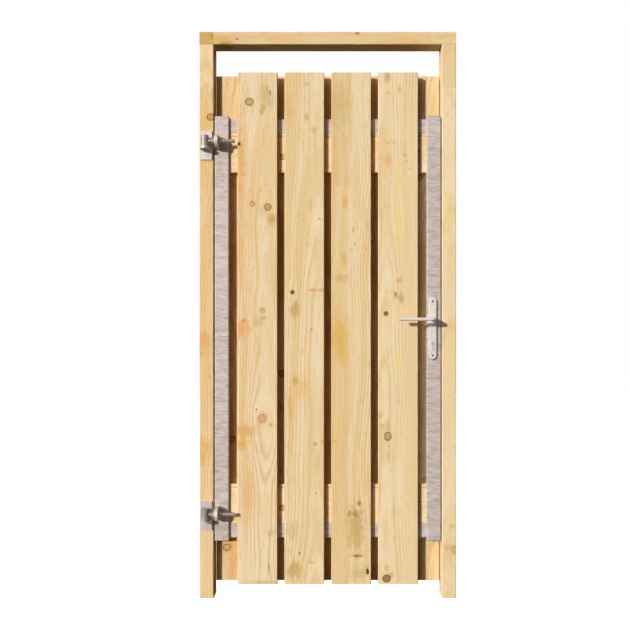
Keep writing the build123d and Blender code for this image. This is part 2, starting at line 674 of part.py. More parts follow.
def make_lock_case():
    half = CASE_THICKNESS / 2
    inner = half - CASE_WALL
    z = (LEAF_MID - CASE_HEIGHT / 2, LEAF_MID + CASE_HEIGHT / 2)
    case = block((CASE_LEFT, LEAF_HALF), (LOCK_Y - half, LOCK_Y + half), z)
    room = block(
        (CASE_LEFT + CASE_WALL, LEAF_HALF), (LOCK_Y - inner, LOCK_Y + inner),
        (z[0] + CASE_WALL, z[1] - CASE_WALL),
    )
    depth = (LOCK_Y - CASE_THICKNESS, LOCK_Y + CASE_THICKNESS)
    follower_hole = through_y(Circle(FOLLOWER_RADIUS + RUNNING_FIT), LEVER_X, LEVER_Z, *depth)
    cylinder_hole = through_y(profile(PROFILE_FIT), LEVER_X, CYLINDER_Z, *depth)
    parts["lock_case"] = cut(case, [room, follower_hole, cylinder_hole])

    forend = block(
        (LEAF_HALF, FOREND_FACE), (LOCK_Y - FOREND_WIDTH / 2, LOCK_Y + FOREND_WIDTH / 2),
        (LEAF_MID - FOREND_LENGTH / 2, LEAF_MID + FOREND_LENGTH / 2),
    )
    cylinder_hole = flat_screw_hole(
        cylinder_screw_place(), TOWARDS_HINGE, cylinder_screw_length(), CYLINDER_SCREW
    )
    holes = [bolt_hole(LATCH_Z, LATCH_HEIGHT), bolt_hole(DEAD_BOLT_Z, DEAD_BOLT_HEIGHT), cylinder_hole]
    parts["lock_forend"] = cut(forend, holes + forend_screw_holes())
    parts["forend_screws"] = group(
        flat_screw(place, TOWARDS_HINGE, FOREND_SCREW_LENGTH, MACHINE_SCREW)
        for place in forend_screw_places()
    )


def make_latch():
    """The sprung latch with the tail and post that the follower's arm pulls back."""
    back = FOREND_FACE - LATCH_BODY
    tip = FOREND_FACE + LATCH_THROW
    half = BOLT_THICKNESS / 2
    outline = Polyline(
        (back, LOCK_Y - half), (tip, LOCK_Y - half), (tip, LOCK_Y - half + LATCH_TIP),
        (FOREND_FACE, LOCK_Y + half), (back, LOCK_Y + half), close=True,
    )
    head = Pos(0, 0, LATCH_Z - LATCH_HEIGHT / 2) * extrude(make_face(outline), LATCH_HEIGHT)
    post_right = LEVER_X - ARM_WIDTH / 2 - ARM_GAP
    tail_bottom = LEVER_Z + FOLLOWER_ARM + ARM_GAP
    depth = (LOCK_Y - ARM_THICKNESS / 2, LOCK_Y + ARM_THICKNESS / 2)
    tail = block((post_right - POST_WIDTH, back), depth, (tail_bottom, tail_bottom + TAIL_HEIGHT))
    post = block((post_right - POST_WIDTH, post_right), depth, (tail_bottom - POST_DROP, tail_bottom))
    parts["latch_bolt"] = head + tail + post

    spring_z = tail_bottom + TAIL_HEIGHT + SPRING_RADIUS + SPRING_WIRE
    start = CASE_LEFT + CASE_WALL + SPRING_GAP + SPRING_WIRE / 2
    length = back - SPRING_GAP - SPRING_WIRE / 2 - start
    coil = Helix(length / SPRING_TURNS, length, SPRING_RADIUS)
    wire = sweep(Plane(origin=coil @ 0, z_dir=coil % 0) * Circle(SPRING_WIRE / 2), path=coil, is_frenet=True)
    place = Plane(origin=(start, LOCK_Y, spring_z), x_dir=TOWARDS_BACK, z_dir=TOWARDS_LOCK)
    parts["latch_spring"] = place * wire


def make_dead_bolt():
    half = BOLT_THICKNESS / 2
    bolt = block(
        (FOREND_FACE - DEAD_BOLT_LENGTH, FOREND_FACE), (LOCK_Y - half, LOCK_Y + half),
        (DEAD_BOLT_Z - DEAD_BOLT_HEIGHT / 2, DEAD_BOLT_Z + DEAD_BOLT_HEIGHT / 2),
    )
    parts["dead_bolt"] = chamfer(bolt.edges().group_by(Axis.X)[-1], ESCUTCHEON_EDGE / 3)


def make_cylinder():
    front = FRONT_PLATE_FACE - CYLINDER_PROUD
    back = BACK_PLATE_FACE + CYLINDER_PROUD
    body = through_y(profile(), LEVER_X, CYLINDER_Z, front, back)
    bore = through_y(Circle(PLUG_RADIUS + RUNNING_FIT), LEVER_X, CYLINDER_Z, front, back)
    slot_half = CAM_WIDTH / 2 + CAM_ROOM
    slot = block(
        (LEVER_X - PROFILE_RADIUS, LEVER_X + PROFILE_RADIUS), (LOCK_Y - slot_half, LOCK_Y + slot_half),
        (CYLINDER_Z - CAM_REACH - CAM_ROOM, CYLINDER_Z + PROFILE_RADIUS),
    )
    place = cylinder_screw_place()
    screw_hole = rod(place, TOWARDS_HINGE, FOREND_THICKNESS + BACKSET + PROFILE_RADIUS,
                     CYLINDER_SCREW[0] + SCREW_FIT)
    parts["cylinder_body"] = cut(body, [bore, slot, screw_hole])
    parts["cylinder_screw"] = flat_screw(place, TOWARDS_HINGE, cylinder_screw_length(), CYLINDER_SCREW)

    plug = through_y(Circle(PLUG_RADIUS), LEVER_X, CYLINDER_Z, front, back)
    keyway_x = (LEVER_X - KEYWAY_WIDTH / 2, LEVER_X + KEYWAY_WIDTH / 2)
    keyway_z = (CYLINDER_Z - KEYWAY_HEIGHT / 2, CYLINDER_Z + KEYWAY_HEIGHT / 2)
    keyways = [
        block(keyway_x, (front, front + KEYWAY_DEPTH), keyway_z),
        block(keyway_x, (back - KEYWAY_DEPTH, back), keyway_z),
    ]
    parts["cylinder_plug"] = cut(plug, keyways)

    cam_y = (LOCK_Y - CAM_WIDTH / 2, LOCK_Y + CAM_WIDTH / 2)
    ring = through_y(Circle(PROFILE_RADIUS), LEVER_X, CYLINDER_Z, *cam_y)
    bit = through_y(
        Pos(0, -CAM_REACH / 2) * Rectangle(CAM_BIT_WIDTH, CAM_REACH) & Circle(CAM_REACH),
        LEVER_X, CYLINDER_Z, *cam_y,
    )
    hole = through_y(Circle(PLUG_RADIUS + SOCKET_FIT / 2), LEVER_X, CYLINDER_Z, *cam_y)
    parts["cylinder_cam"] = ring + bit - hole


# ---- Handle set ----
def handle_bolt_rows():
    return [LEAF_MID + side * ESCUTCHEON_BOLT_PITCH / 2 for side in (-1, 1)]


def escutcheon(outer, inner):
    """A long plate with round ends, between its outer face and the face it lies on."""
    straight = ESCUTCHEON_HEIGHT - ESCUTCHEON_WIDTH
    outline = Rectangle(ESCUTCHEON_WIDTH, straight)
    for side in (-1, 1):
        outline += Pos(0, side * straight / 2) * Circle(ESCUTCHEON_WIDTH / 2)
    low, high = sorted((outer, inner))
    plate = through_y(outline, LEVER_X, LEAF_MID, low, high)
    outer_face = 0 if outer < inner else -1
    plate = fillet(plate.faces().sort_by(Axis.Y)[outer_face].edges(), ESCUTCHEON_EDGE)
    neck = through_y(Circle(NECK_RADIUS + RUNNING_FIT), LEVER_X, LEVER_Z, low, high)
    cylinder = through_y(profile(SOCKET_FIT), LEVER_X, CYLINDER_Z, low, high)
    return cut(plate, [neck, cylinder])


def handle_bolt(z):
    """A socket bolt that joins the two plates through the stile and the board."""
    shank, rim, height = HANDLE_BOLT
    head_top = FRONT_PLATE_FACE + BOLT_HEAD_RECESS
    head = rod((LEVER_X, head_top, z), TOWARDS_BACK, height, rim)
    stem_length = BACK_PLATE_FACE - ESCUTCHEON_THICKNESS / 2 - head_top
    stem = rod((LEVER_X, head_top, z), TOWARDS_BACK, stem_length, shank)
    socket = through_y(
        RegularPolygon(shank * 0.6, 6, major_radius=False), LEVER_X, z, head_top, head_top + height * 0.6
    )
    return head + stem - socket


def make_escutcheons():
    shank, rim, height = HANDLE_BOLT
    front = escutcheon(FRONT_PLATE_FACE, STILE_FRONT)
    back = escutcheon(BACK_PLATE_FACE, LEAF_BACK)
    head_seat = FRONT_PLATE_FACE + BOLT_HEAD_RECESS + height
    blind_end = BACK_PLATE_FACE - ESCUTCHEON_THICKNESS / 2 + SCREW_FIT
    for z in handle_bolt_rows():
        counterbore = through_y(Circle(rim + SCREW_FIT), LEVER_X, z, FRONT_PLATE_FACE, head_seat)
        through = through_y(Circle(shank + SCREW_FIT), LEVER_X, z, FRONT_PLATE_FACE, blind_end)
        front = cut(front, [counterbore, through])
        back = back - through
    parts["front_escutcheon"] = front
    parts["back_escutcheon"] = back
    parts["escutcheon_bolts"] = group(handle_bolt(z) for z in handle_bolt_rows())


def grub_hole(y, radius):
    """The hole under a lever's neck for its grub screw."""
    return rod((LEVER_X, y, LEVER_Z), DOWN, NECK_RADIUS + 1, radius)


def lever(face, outward):
    """A round lever bent from its neck, on the side of the leaf that outward points to."""
    base = face - outward * (ESCUTCHEON_THICKNESS - 1)
    neck_end = face + outward * NECK_LENGTH
    plane_y = face + outward * LEVER_REACH
    direction = (0, outward, 0)
    neck = rod((LEVER_X, base, LEVER_Z), direction, abs(neck_end - base), NECK_RADIUS)
    taper_place = Plane(origin=(LEVER_X, neck_end, LEVER_Z), z_dir=direction)
    taper = taper_place * Cone(NECK_RADIUS, LEVER_RADIUS, NECK_TAPER, align=AT_START)
    route = FilletPolyline(
        (LEVER_X, neck_end, LEVER_Z), (LEVER_X, plane_y, LEVER_Z),
        (LEVER_X - LEVER_LENGTH, plane_y, LEVER_Z), radius=LEVER_BEND,
    )
    bar = sweep(Plane(origin=route @ 0, z_dir=route % 0) * Circle(LEVER_RADIUS), path=route)
    bar = fillet(bar.edges().group_by(Axis.X)[0], LEVER_END_ROUND)
    socket_end = face + outward * (SPINDLE_GRIP + SOCKET_FIT)
    side = SPINDLE_SIDE + 2 * SOCKET_FIT
    socket = through_y(Rectangle(side, side), LEVER_X, LEVER_Z, *sorted((base, socket_end)))
    grub = grub_hole(face + outward * GRUB_OUT, GRUB_RADIUS + SCREW_FIT)
    return neck + taper + bar - socket - grub


def grub_screw(face, outward):
    y = face + outward * GRUB_OUT
    length = NECK_RADIUS - SPINDLE_SIDE / 2 - 2 * SOCKET_FIT
    top = LEVER_Z - SPINDLE_SIDE / 2 - SOCKET_FIT
    screw = rod((LEVER_X, y, top), DOWN, length, GRUB_RADIUS)
    socket_place = Plane(origin=(LEVER_X, y, top - length), z_dir=(0, 0, 1))
    return screw - socket_place * extrude(RegularPolygon(GRUB_RADIUS / 2, 6), length / 2)


def make_handles():
    sides = ((FRONT_PLATE_FACE, -1), (BACK_PLATE_FACE, 1))
    for name, (face, outward) in zip(("front", "back"), sides):
        parts[f"{name}_lever"] = lever(face, outward)
    parts["lever_grub_screws"] = group(grub_screw(face, outward) for face, outward in sides)
    ends = (FRONT_PLATE_FACE - SPINDLE_GRIP, BACK_PLATE_FACE + SPINDLE_GRIP)
    parts["spindle"] = through_y(Rectangle(SPINDLE_SIDE, SPINDLE_SIDE), LEVER_X, LEVER_Z, *ends)

    half = CASE_THICKNESS / 2
    hub = through_y(Circle(FOLLOWER_RADIUS), LEVER_X, LEVER_Z, LOCK_Y - half, LOCK_Y + half)
    arm = block(
        (LEVER_X - ARM_WIDTH / 2, LEVER_X + ARM_WIDTH / 2),
        (LOCK_Y - ARM_THICKNESS / 2, LOCK_Y + ARM_THICKNESS / 2), (LEVER_Z, LEVER_Z + FOLLOWER_ARM),
    )
    side = SPINDLE_SIDE + 2 * SOCKET_FIT
    socket = through_y(Rectangle(side, side), LEVER_X, LEVER_Z, LOCK_Y - half, LOCK_Y + half)
    parts["follower"] = hub + arm - socket


def main():
    make_door_frame()
    make_strike()
    make_hinges()
    make_boards()
    make_rails()
    make_stiles()
    make_leaf_screws()
    make_lock_case()
    make_latch()
    make_dead_bolt()
    make_cylinder()
    make_escutcheons()
    make_handles()
    os.makedirs("parts", exist_ok=True)
    for name, shape in parts.items():
        solids = shape.solids()
        export_step(solids[0] if len(solids) == 1 else Compound(solids), f"parts/{name}.step")
        print(name, len(solids))


main()
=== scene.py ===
"""Looks of a framed garden gate: pine boards, galvanised tube, satin handles and oiled hinges."""
import logging
import math
from dataclasses import dataclass
from enum import Enum
from typing import Callable, Iterable, Sequence, Union

import bmesh
import bpy
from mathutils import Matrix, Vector


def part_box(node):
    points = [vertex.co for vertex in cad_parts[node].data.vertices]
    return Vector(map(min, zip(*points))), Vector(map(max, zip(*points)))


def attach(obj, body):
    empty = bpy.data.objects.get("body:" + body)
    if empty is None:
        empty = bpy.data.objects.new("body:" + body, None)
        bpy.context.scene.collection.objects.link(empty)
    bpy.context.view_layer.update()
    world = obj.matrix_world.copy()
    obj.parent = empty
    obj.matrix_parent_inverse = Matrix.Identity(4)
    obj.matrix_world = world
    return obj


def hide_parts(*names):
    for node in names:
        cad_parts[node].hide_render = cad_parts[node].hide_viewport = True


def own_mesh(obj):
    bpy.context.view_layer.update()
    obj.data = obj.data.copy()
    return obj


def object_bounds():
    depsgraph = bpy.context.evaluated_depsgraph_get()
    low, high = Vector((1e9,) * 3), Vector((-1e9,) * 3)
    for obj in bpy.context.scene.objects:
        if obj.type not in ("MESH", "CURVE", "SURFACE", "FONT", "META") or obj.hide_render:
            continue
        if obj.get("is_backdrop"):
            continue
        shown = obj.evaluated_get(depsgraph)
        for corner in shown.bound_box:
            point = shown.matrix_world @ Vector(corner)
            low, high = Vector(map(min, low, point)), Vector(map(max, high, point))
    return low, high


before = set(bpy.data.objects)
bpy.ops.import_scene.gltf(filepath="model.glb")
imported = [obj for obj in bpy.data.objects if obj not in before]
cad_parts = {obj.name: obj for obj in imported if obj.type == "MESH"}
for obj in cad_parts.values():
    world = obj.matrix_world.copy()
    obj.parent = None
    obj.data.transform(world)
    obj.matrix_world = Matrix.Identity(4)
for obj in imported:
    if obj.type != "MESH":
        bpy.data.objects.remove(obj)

Colour = tuple[float, float, float]
Input = Union[float, Sequence[float], bpy.types.NodeSocket]

log = logging.getLogger("garden_gate")


def tint(red: int, green: int, blue: int) -> Colour:
    """Turns a colour from 0 to 255 a channel into the linear values that shaders use."""
    shares = (channel / 255 for channel in (red, green, blue))
    return tuple(v / 12.92 if v <= 0.04045 else ((v + 0.055) / 1.055) ** 2.4 for v in shares)


# ---------------------------------------------------------------------------------------
# Node building
# ---------------------------------------------------------------------------------------
class Graph:
    """Adds nodes to one tree and joins them."""

    def __init__(self, tree: bpy.types.NodeTree) -> None:
        """Starts on a tree that may already hold nodes."""
        self.tree = tree

    def add(self, kind: str, **settings: object) -> bpy.types.Node:
        """Adds one node.

        Args:
            kind: the node's type name.
            **settings: properties set on the node.

        Returns:
            The new node.
        """
        node = self.tree.nodes.new(kind)
        for name, value in settings.items():
            setattr(node, name, value)
        return node

    def feed(self, node: bpy.types.Node, key: Union[int, str], value: Input) -> None:
        """Gives an input a link or a plain value.

        Args:
            node: the node that is fed.
            key: the input's name or number.
            value: a socket to link, or a value.
        """
        socket = node.inputs[key]
        if isinstance(value, bpy.types.NodeSocket):
            self.tree.links.new(value, socket)
        elif socket.type == "RGBA" and len(value) == 3:
            socket.default_value = (*value, 1.0)
        else:
            socket.default_value = value

    def math(self, operation: str, a: Input, b: Input = 0.0, clamp: bool = False) -> bpy.types.NodeSocket:
        """Adds a Math node.

        Args:
            operation: the node's operation.
            a: the first number.
            b: the second number.
            clamp: whether the result is kept between 0 and 1.

        Returns:
            The result.
        """
        node = self.add("ShaderNodeMath", operation=operation, use_clamp=clamp)
        self.feed(node, 0, a)
        self.feed(node, 1, b)
        return node.outputs[0]

    def vector(self, operation: str, a: Input, b: Input = (0.0, 0.0, 0.0)) -> bpy.types.NodeSocket:
        """Adds a Vector Math node.

        Args:
            operation: the node's operation.
            a: the first vector.
            b: the second vector.

        Returns:
            The result, a number for LENGTH and a vector for the rest.
        """
        node = self.add("ShaderNodeVectorMath", operation=operation)
        self.feed(node, 0, a)
        self.feed(node, 1, b)
        return node.outputs["Value" if operation == "LENGTH" else "Vector"]

    def split(self, vector: Input) -> tuple[bpy.types.NodeSocket, ...]:
        """Returns the X, Y and Z of a vector."""
        node = self.add("ShaderNodeSeparateXYZ")
        self.feed(node, 0, vector)
        return tuple(node.outputs)

    def join(self, x: Input, y: Input, z: Input) -> bpy.types.NodeSocket:
        """Returns a vector made of three numbers."""
        node = self.add("ShaderNodeCombineXYZ")
        for key, value in enumerate((x, y, z)):
            self.feed(node, key, value)
        return node.outputs[0]

    def noise(
        self, vector: Input, stretch: Colour, detail: float = 2.0, twist: float = 0.0
    ) -> bpy.types.NodeSocket:
        """Adds a noise that is stretched along the axes.

        Args:
            vector: where the noise is read.
            stretch: how many features there are to the metre along each axis.
            detail: the noise's detail.
            twist: the noise's distortion.

        Returns:
            A number about 0.5.
        """
        node = self.add("ShaderNodeTexNoise")
        self.feed(node, "Vector", self.vector("MULTIPLY", vector, stretch))
        self.feed(node, "Scale", 1.0)
        self.feed(node, "Detail", detail)
        self.feed(node, "Distortion", twist)
        return node.outputs[0]

    def ease(self, value: Input, low: float, high: float) -> bpy.types.NodeSocket:
        """Returns 0 below low, 1 above high and a smooth step between them."""
        node = self.add("ShaderNodeMapRange", interpolation_type="SMOOTHSTEP")
        self.feed(node, 0, value)
        self.feed(node, 1, low)
        self.feed(node, 2, high)
        return node.outputs[0]

    def mix(self, share: Input, a: Input, b: Input, blend: str = "MIX") -> bpy.types.NodeSocket:
        """Mixes two colours.

        Args:
            share: how much of the second colour there is.
            a: the first colour.
            b: the second colour.
            blend: the way that they mix.

        Returns:
            The mixed colour.
        """
        node = self.add("ShaderNodeMix", data_type="RGBA", blend_type=blend)
        self.feed(node, 0, share)
        self.feed(node, 6, a)
        self.feed(node, 7, b)
        return node.outputs[2]


SOCKET_TYPES = {"F": "NodeSocketFloat", "V": "NodeSocketVector", "C": "NodeSocketColor"}


def shader_group(
    name: str, inputs: dict[str, str], outputs: dict[str, str], fill: Callable[[Graph, dict], dict]
) -> bpy.types.NodeTree:
    """Builds a shader node group once.

    Args:
        name: the group's name.
        inputs: each input's name and kind: F, V or C.
        outputs: each output's name and kind.
        fill: draws the group's inside and returns a socket for each output.

    Returns:
        The group.
    """
    tree = bpy.data.node_groups.new(name, "ShaderNodeTree")
    for label, kind in inputs.items():
        tree.interface.new_socket(name=label, in_out="INPUT", socket_type=SOCKET_TYPES[kind])
    for label, kind in outputs.items():
        tree.interface.new_socket(name=label, in_out="OUTPUT", socket_type=SOCKET_TYPES[kind])
    graph = Graph(tree)
    entry = graph.add("NodeGroupInput")
    leave = graph.add("NodeGroupOutput")
    results = fill(graph, {label: entry.outputs[label] for label in inputs})
    for label, socket in results.items():
        tree.links.new(socket, leave.inputs[label])
    return tree


def draw_pine(graph: Graph, given: dict) -> dict:
    """Draws growth rings about a pith, fibres and slow changes of tone, with the grain along Z."""
    x, y, z = graph.split(given["Vector"])
    shift = graph.math("MULTIPLY", given["Seed"], 3.71)
    place = graph.join(graph.math("ADD", x, shift), y, graph.math("ADD", z, shift))
    away = graph.split(graph.vector("SUBTRACT", given["Vector"], given["Pith"]))
    across = graph.math("ADD", away[0], given["Warp"])
    wander = graph.math("MULTIPLY", graph.noise(place, (2.6, 2.6, 1.5), 2.0), 0.075)
    radius = graph.math("ADD", graph.vector("LENGTH", graph.join(across, away[1], 0.0)), wander)
    radius = graph.math("ADD", radius, graph.math("MULTIPLY", z, 0.02))
    turns = graph.math("DIVIDE", radius, given["Ring"])
    swing = graph.math("SINE", graph.math("MULTIPLY", turns, math.tau))
    wave = graph.math("ADD", graph.math("MULTIPLY", swing, 0.5), 0.5)
    late = graph.math("POWER", wave, 2.4)
    strength = graph.ease(graph.noise(place, (12.0, 12.0, 1.8), 2.0), 0.34, 0.6)
    along = graph.math("MULTIPLY", z, 0.9)
    band_place = graph.join(graph.math("MULTIPLY", radius, 48.0), given["Seed"], along)
    bands = graph.noise(band_place, (1.0, 1.0, 1.0), 2.0)
    fibres = graph.noise(place, (420.0, 420.0, 9.0), 3.0)
    clouds = graph.noise(place, (24.0, 24.0, 7.0), 4.0, 0.6)
    flecks = graph.noise(place, (110.0, 110.0, 36.0), 3.0, 0.5)
    streaks = graph.noise(place, (150.0, 150.0, 4.0), 3.0)
    cloudy = graph.math("MULTIPLY", graph.ease(clouds, 0.48, 0.70), 0.55)
    tone = graph.math("ADD", graph.ease(bands, 0.44, 0.68), cloudy, True)
    colour = graph.mix(graph.math("MULTIPLY", tone, given["Figure"]), given["Pale"], given["Tan"])
    line = graph.math("MULTIPLY", late, graph.math("MULTIPLY", strength, given["Contrast"]))
    colour = graph.mix(line, colour, given["Late"])
    colour = graph.mix(graph.math("MULTIPLY", graph.ease(streaks, 0.5, 0.8), 0.7), colour, given["Tan"])
    colour = graph.mix(graph.math("MULTIPLY", graph.ease(flecks, 0.56, 0.72), 0.4), colour, given["Late"])
    colour = graph.mix(graph.math("MULTIPLY", graph.ease(fibres, 0.45, 0.8), 0.15), colour, given["Late"])
    roughness = graph.math("ADD", graph.math("MULTIPLY", fibres, 0.2), 0.5)
    height = graph.math("ADD", graph.math("MULTIPLY", fibres, 0.6), graph.math("MULTIPLY", late, 0.5))
    return {"Color": colour, "Roughness": roughness, "Height": height}


def draw_knot(graph: Graph, given: dict) -> dict:
    """Draws one knot: a core with rings, a thin rim and the bend that it gives the grain."""
    away = graph.vector("SUBTRACT", given["Vector"], given["Centre"])
    x, _, z = graph.split(away)
    across = graph.math("DIVIDE", x, given["Radius"])
    along = graph.math("DIVIDE", z, graph.math("MULTIPLY", given["Radius"], given["Stretch"]))
    wobble = graph.math("MULTIPLY", graph.noise(given["Vector"], (110.0, 30.0, 90.0), 2.0), 0.4)
    distance = graph.math("ADD", graph.vector("LENGTH", graph.join(across, 0.0, along)), wobble)
    core = graph.math("SUBTRACT", 1.0, graph.ease(distance, 1.08, 1.22))
    rim = graph.math("MULTIPLY", graph.math("SUBTRACT", 1.0, graph.ease(distance, 1.2, 1.42)),
                     graph.ease(distance, 0.92, 1.16))
    swing = graph.math("SINE", graph.math("MULTIPLY", distance, 19.0))
    rings = graph.math("ADD", graph.math("MULTIPLY", swing, 0.5), 0.5)
    longer = graph.vector("LENGTH", graph.join(across, 0.0, graph.math("MULTIPLY", along, 0.42)))
    reach = graph.math("EXPONENT", graph.math("MULTIPLY", graph.math("MULTIPLY", longer, longer), -0.10))
    warp = graph.math("MULTIPLY", graph.math("MULTIPLY", x, reach), -0.9)
    tail = graph.math("MULTIPLY", graph.math("MULTIPLY", distance, distance), -0.35)
    return {"Core": core, "Rim": rim, "Rings": rings, "Halo": graph.math("EXPONENT", tail), "Warp": warp}


def draw_stain(graph: Graph, given: dict) -> dict:
    """Draws a broken smudge about a point, longer along the grain."""
    away = graph.vector("SUBTRACT", given["Vector"], given["Centre"])
    x, _, z = graph.split(away)
    across = graph.math("DIVIDE", x, given["Width"])
    along = graph.math("DIVIDE", z, given["Length"])
    distance = graph.vector("LENGTH", graph.join(across, 0.0, along))
    broken = graph.noise(given["Vector"], (130.0, 40.0, 50.0), 3.0, 0.8)
    ragged = graph.math("ADD", distance, graph.math("MULTIPLY", graph.math("SUBTRACT", broken, 0.5), 2.2))
    fade = graph.math("SUBTRACT", 1.0, graph.ease(ragged, 0.2, 1.5))
    return {"Mask": graph.math("MULTIPLY", fade, given["Strength"])}


def draw_patch(graph: Graph, given: dict) -> dict:
    """Draws a patch with straight edges between two corners."""
    above = graph.split(graph.vector("SUBTRACT", given["Vector"], given["Low"]))
    below = graph.split(graph.vector("SUBTRACT", given["High"], given["Vector"]))
    mask: Input = given["Strength"]
    for room in (above[0], above[2], below[0], below[2]):
        mask = graph.math("MULTIPLY", mask, graph.ease(room, -0.0006, 0.0006))
    return {"Mask": mask}


def draw_zinc(graph: Graph, given: dict) -> dict:
    """Draws wavy fine streaks across a tube, with slow mottling and rare scratches."""
    along = graph.noise(given["Vector"], (22.0, 22.0, 120.0), 3.0, 1.1)
    broad = graph.noise(given["Vector"], (26.0, 26.0, 75.0), 3.0, 0.9)
    spangle = graph.noise(given["Vector"], (140.0, 140.0, 140.0), 1.0)
    scratch = graph.ease(graph.noise(given["Vector"], (30.0, 30.0, 700.0), 1.0, 0.8), 0.62, 0.7)
    colour = graph.mix(graph.ease(along, 0.44, 0.64), given["Base"], given["Dark"])
    colour = graph.mix(graph.math("MULTIPLY", graph.ease(broad, 0.5, 0.68), 0.7), colour, given["Bright"])
    colour = graph.mix(graph.math("MULTIPLY", scratch, 0.35), colour, given["Dark"])
    roughness = graph.math("ADD", graph.math("MULTIPLY", spangle, 0.2), 0.5)
    height = graph.math("ADD", graph.math("MULTIPLY", along, 0.7), graph.math("MULTIPLY", spangle, 0.3))
    return {"Color": colour, "Roughness": roughness, "Height": height}


def draw_metal(graph: Graph, given: dict) -> dict:
    """Draws a worked metal: faint brushing, dulled patches and small dark specks."""
    brushing = graph.noise(given["Vector"], (260.0, 260.0, 900.0), 2.0)
    patches = graph.noise(given["Vector"], (70.0, 70.0, 70.0), 3.0, 0.4)
    specks = graph.ease(graph.noise(given["Vector"], (900.0, 900.0, 900.0), 1.0), 0.68, 0.74)
    wear = graph.math("MULTIPLY", graph.ease(patches, 0.42, 0.7), given["Wear"])
    colour = graph.mix(wear, given["Base"], given["Dull"])
    colour = graph.mix(graph.math("MULTIPLY", specks, given["Wear"]), colour, given["Dull"])
    roughness = graph.math("ADD", graph.math("MULTIPLY", patches, 0.25), given["Roughness"])
    height = graph.math("ADD", brushing, graph.math("MULTIPLY", patches, 0.6))
    return {"Color": colour, "Roughness": roughness, "Height": height}


class Effect(Enum):
    """The shader groups that the finishes share."""

    PINE = "pine_grain"
    KNOT = "knot"
    STAIN = "stain"
    PATCH = "straight_patch"
    ZINC = "zinc_streaks"
    METAL = "worked_metal"


SURFACE = {"Color": "C", "Roughness": "F", "Height": "F"}
RECIPES = {
    Effect.PINE: (
        {"Vector": "V", "Pith": "V", "Seed": "F", "Warp": "F", "Ring": "F", "Figure": "F", "Contrast": "F",
         "Pale": "C", "Tan": "C", "Late": "C"},
        SURFACE, draw_pine,
    ),
    Effect.KNOT: (
        {"Vector": "V", "Centre": "V", "Radius": "F", "Stretch": "F"},
        {"Core": "F", "Rim": "F", "Rings": "F", "Halo": "F", "Warp": "F"}, draw_knot,
    ),
    Effect.STAIN: (
        {"Vector": "V", "Centre": "V", "Width": "F", "Length": "F", "Strength": "F"},
        {"Mask": "F"},
        draw_stain,
    ),
    Effect.PATCH: ({"Vector": "V", "Low": "V", "High": "V", "Strength": "F"}, {"Mask": "F"}, draw_patch),
    Effect.ZINC: ({"Vector": "V", "Base": "C", "Dark": "C", "Bright": "C"}, SURFACE, draw_zinc),
    Effect.METAL: (
        {"Vector": "V", "Base": "C", "Dull": "C", "Wear": "F", "Roughness": "F"}, SURFACE, draw_metal,
    ),
}


def effect(graph: Graph, which: Effect, **values: Input) -> bpy.types.Node:
    """Places a shared shader group in a material.

    Args:
        graph: the material's graph.
        which: the group.
        **values: the group's inputs by name, with _ for a space.

    Returns:
        The group's node.
    """
    tree = bpy.data.node_groups.get(which.value) or shader_group(which.value, *RECIPES[which])
    node = graph.add("ShaderNodeGroup", node_tree=tree)
    for name, value in values.items():
        graph.feed(node, name, value)
    return node


def new_material(name: str) -> tuple[bpy.types.Material, Graph, bpy.types.Node]:
    """Makes a material that holds a Principled shader.

    Args:
        name: the material's name.

    Returns:
        The material, its graph and the shader.
    """
    material = bpy.data.materials.new(name)
    material.use_nodes = True
    graph = Graph(material.node_tree)
    return material, graph, material.node_tree.nodes["Principled BSDF"]


def raise_surface(graph: Graph, shader: bpy.types.Node, height: Input, depth: float) -> None:
    """Gives a shader a bump of a depth in metres."""
    bump = graph.add("ShaderNodeBump")
    graph.feed(bump, "Height", height)
    graph.feed(bump, "Distance", depth)
    graph.feed(bump, "Strength", 0.6)
    graph.feed(shader, "Normal", bump.outputs[0])


def dress(node: str, material: bpy.types.Material) -> None:
    """Puts one material on a node of the frame.

    Args:
        node: the node's name.
        material: what it is made of.
    """
    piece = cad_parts[node]
    piece.data.materials.clear()
    piece.data.materials.append(material)
    log.info("dressed %s with %s", node, material.name)


# ---------------------------------------------------------------------------------------
# Finishes
# ---------------------------------------------------------------------------------------
CORE_SHARE = 0.9


class Grain(Enum):
    """The way that the grain of a timber runs."""

    UPRIGHT = "upright"
    ACROSS = "across"


ORANGE = tint(222, 130, 58)
WASH = tint(232, 176, 108)
GOLD = tint(222, 178, 88)
YELLOW = tint(238, 214, 130)
GREEN = tint(204, 184, 122)
OLIVE = tint(198, 164, 94)
BROWN = tint(150, 98, 48)
DARK = tint(84, 58, 32)
# Darker tone for the sawn sides and backs of boards; the same tone also paints shade into the gaps between
# boards.
SAWN_AND_GAP_SHADE = tint(196, 160, 122)


@dataclass(frozen=True)
class Knot:
    """A knot, placed by shares of its timber's width and length."""

    across: float
    along: float
    radius: float
    stretch: float = 1.0
    core: Colour = tint(214, 165, 105)
    rim: Colour = tint(128, 84, 50)
    strength: float = 0.85
    halo: float = 0.3


@dataclass(frozen=True)
class Stain:
    """A smudge of another colour, placed by shares of its timber's width and length."""

    across: float
    along: float
    width: float
    length: float
    colour: Colour
    strength: float = 0.6


@dataclass(frozen=True)
class Patch:
    """A part of a timber with straight edges and another tone, given by shares of the timber."""

    low: tuple[float, float]
    high: tuple[float, float]
    colour: Colour
    strength: float = 0.5


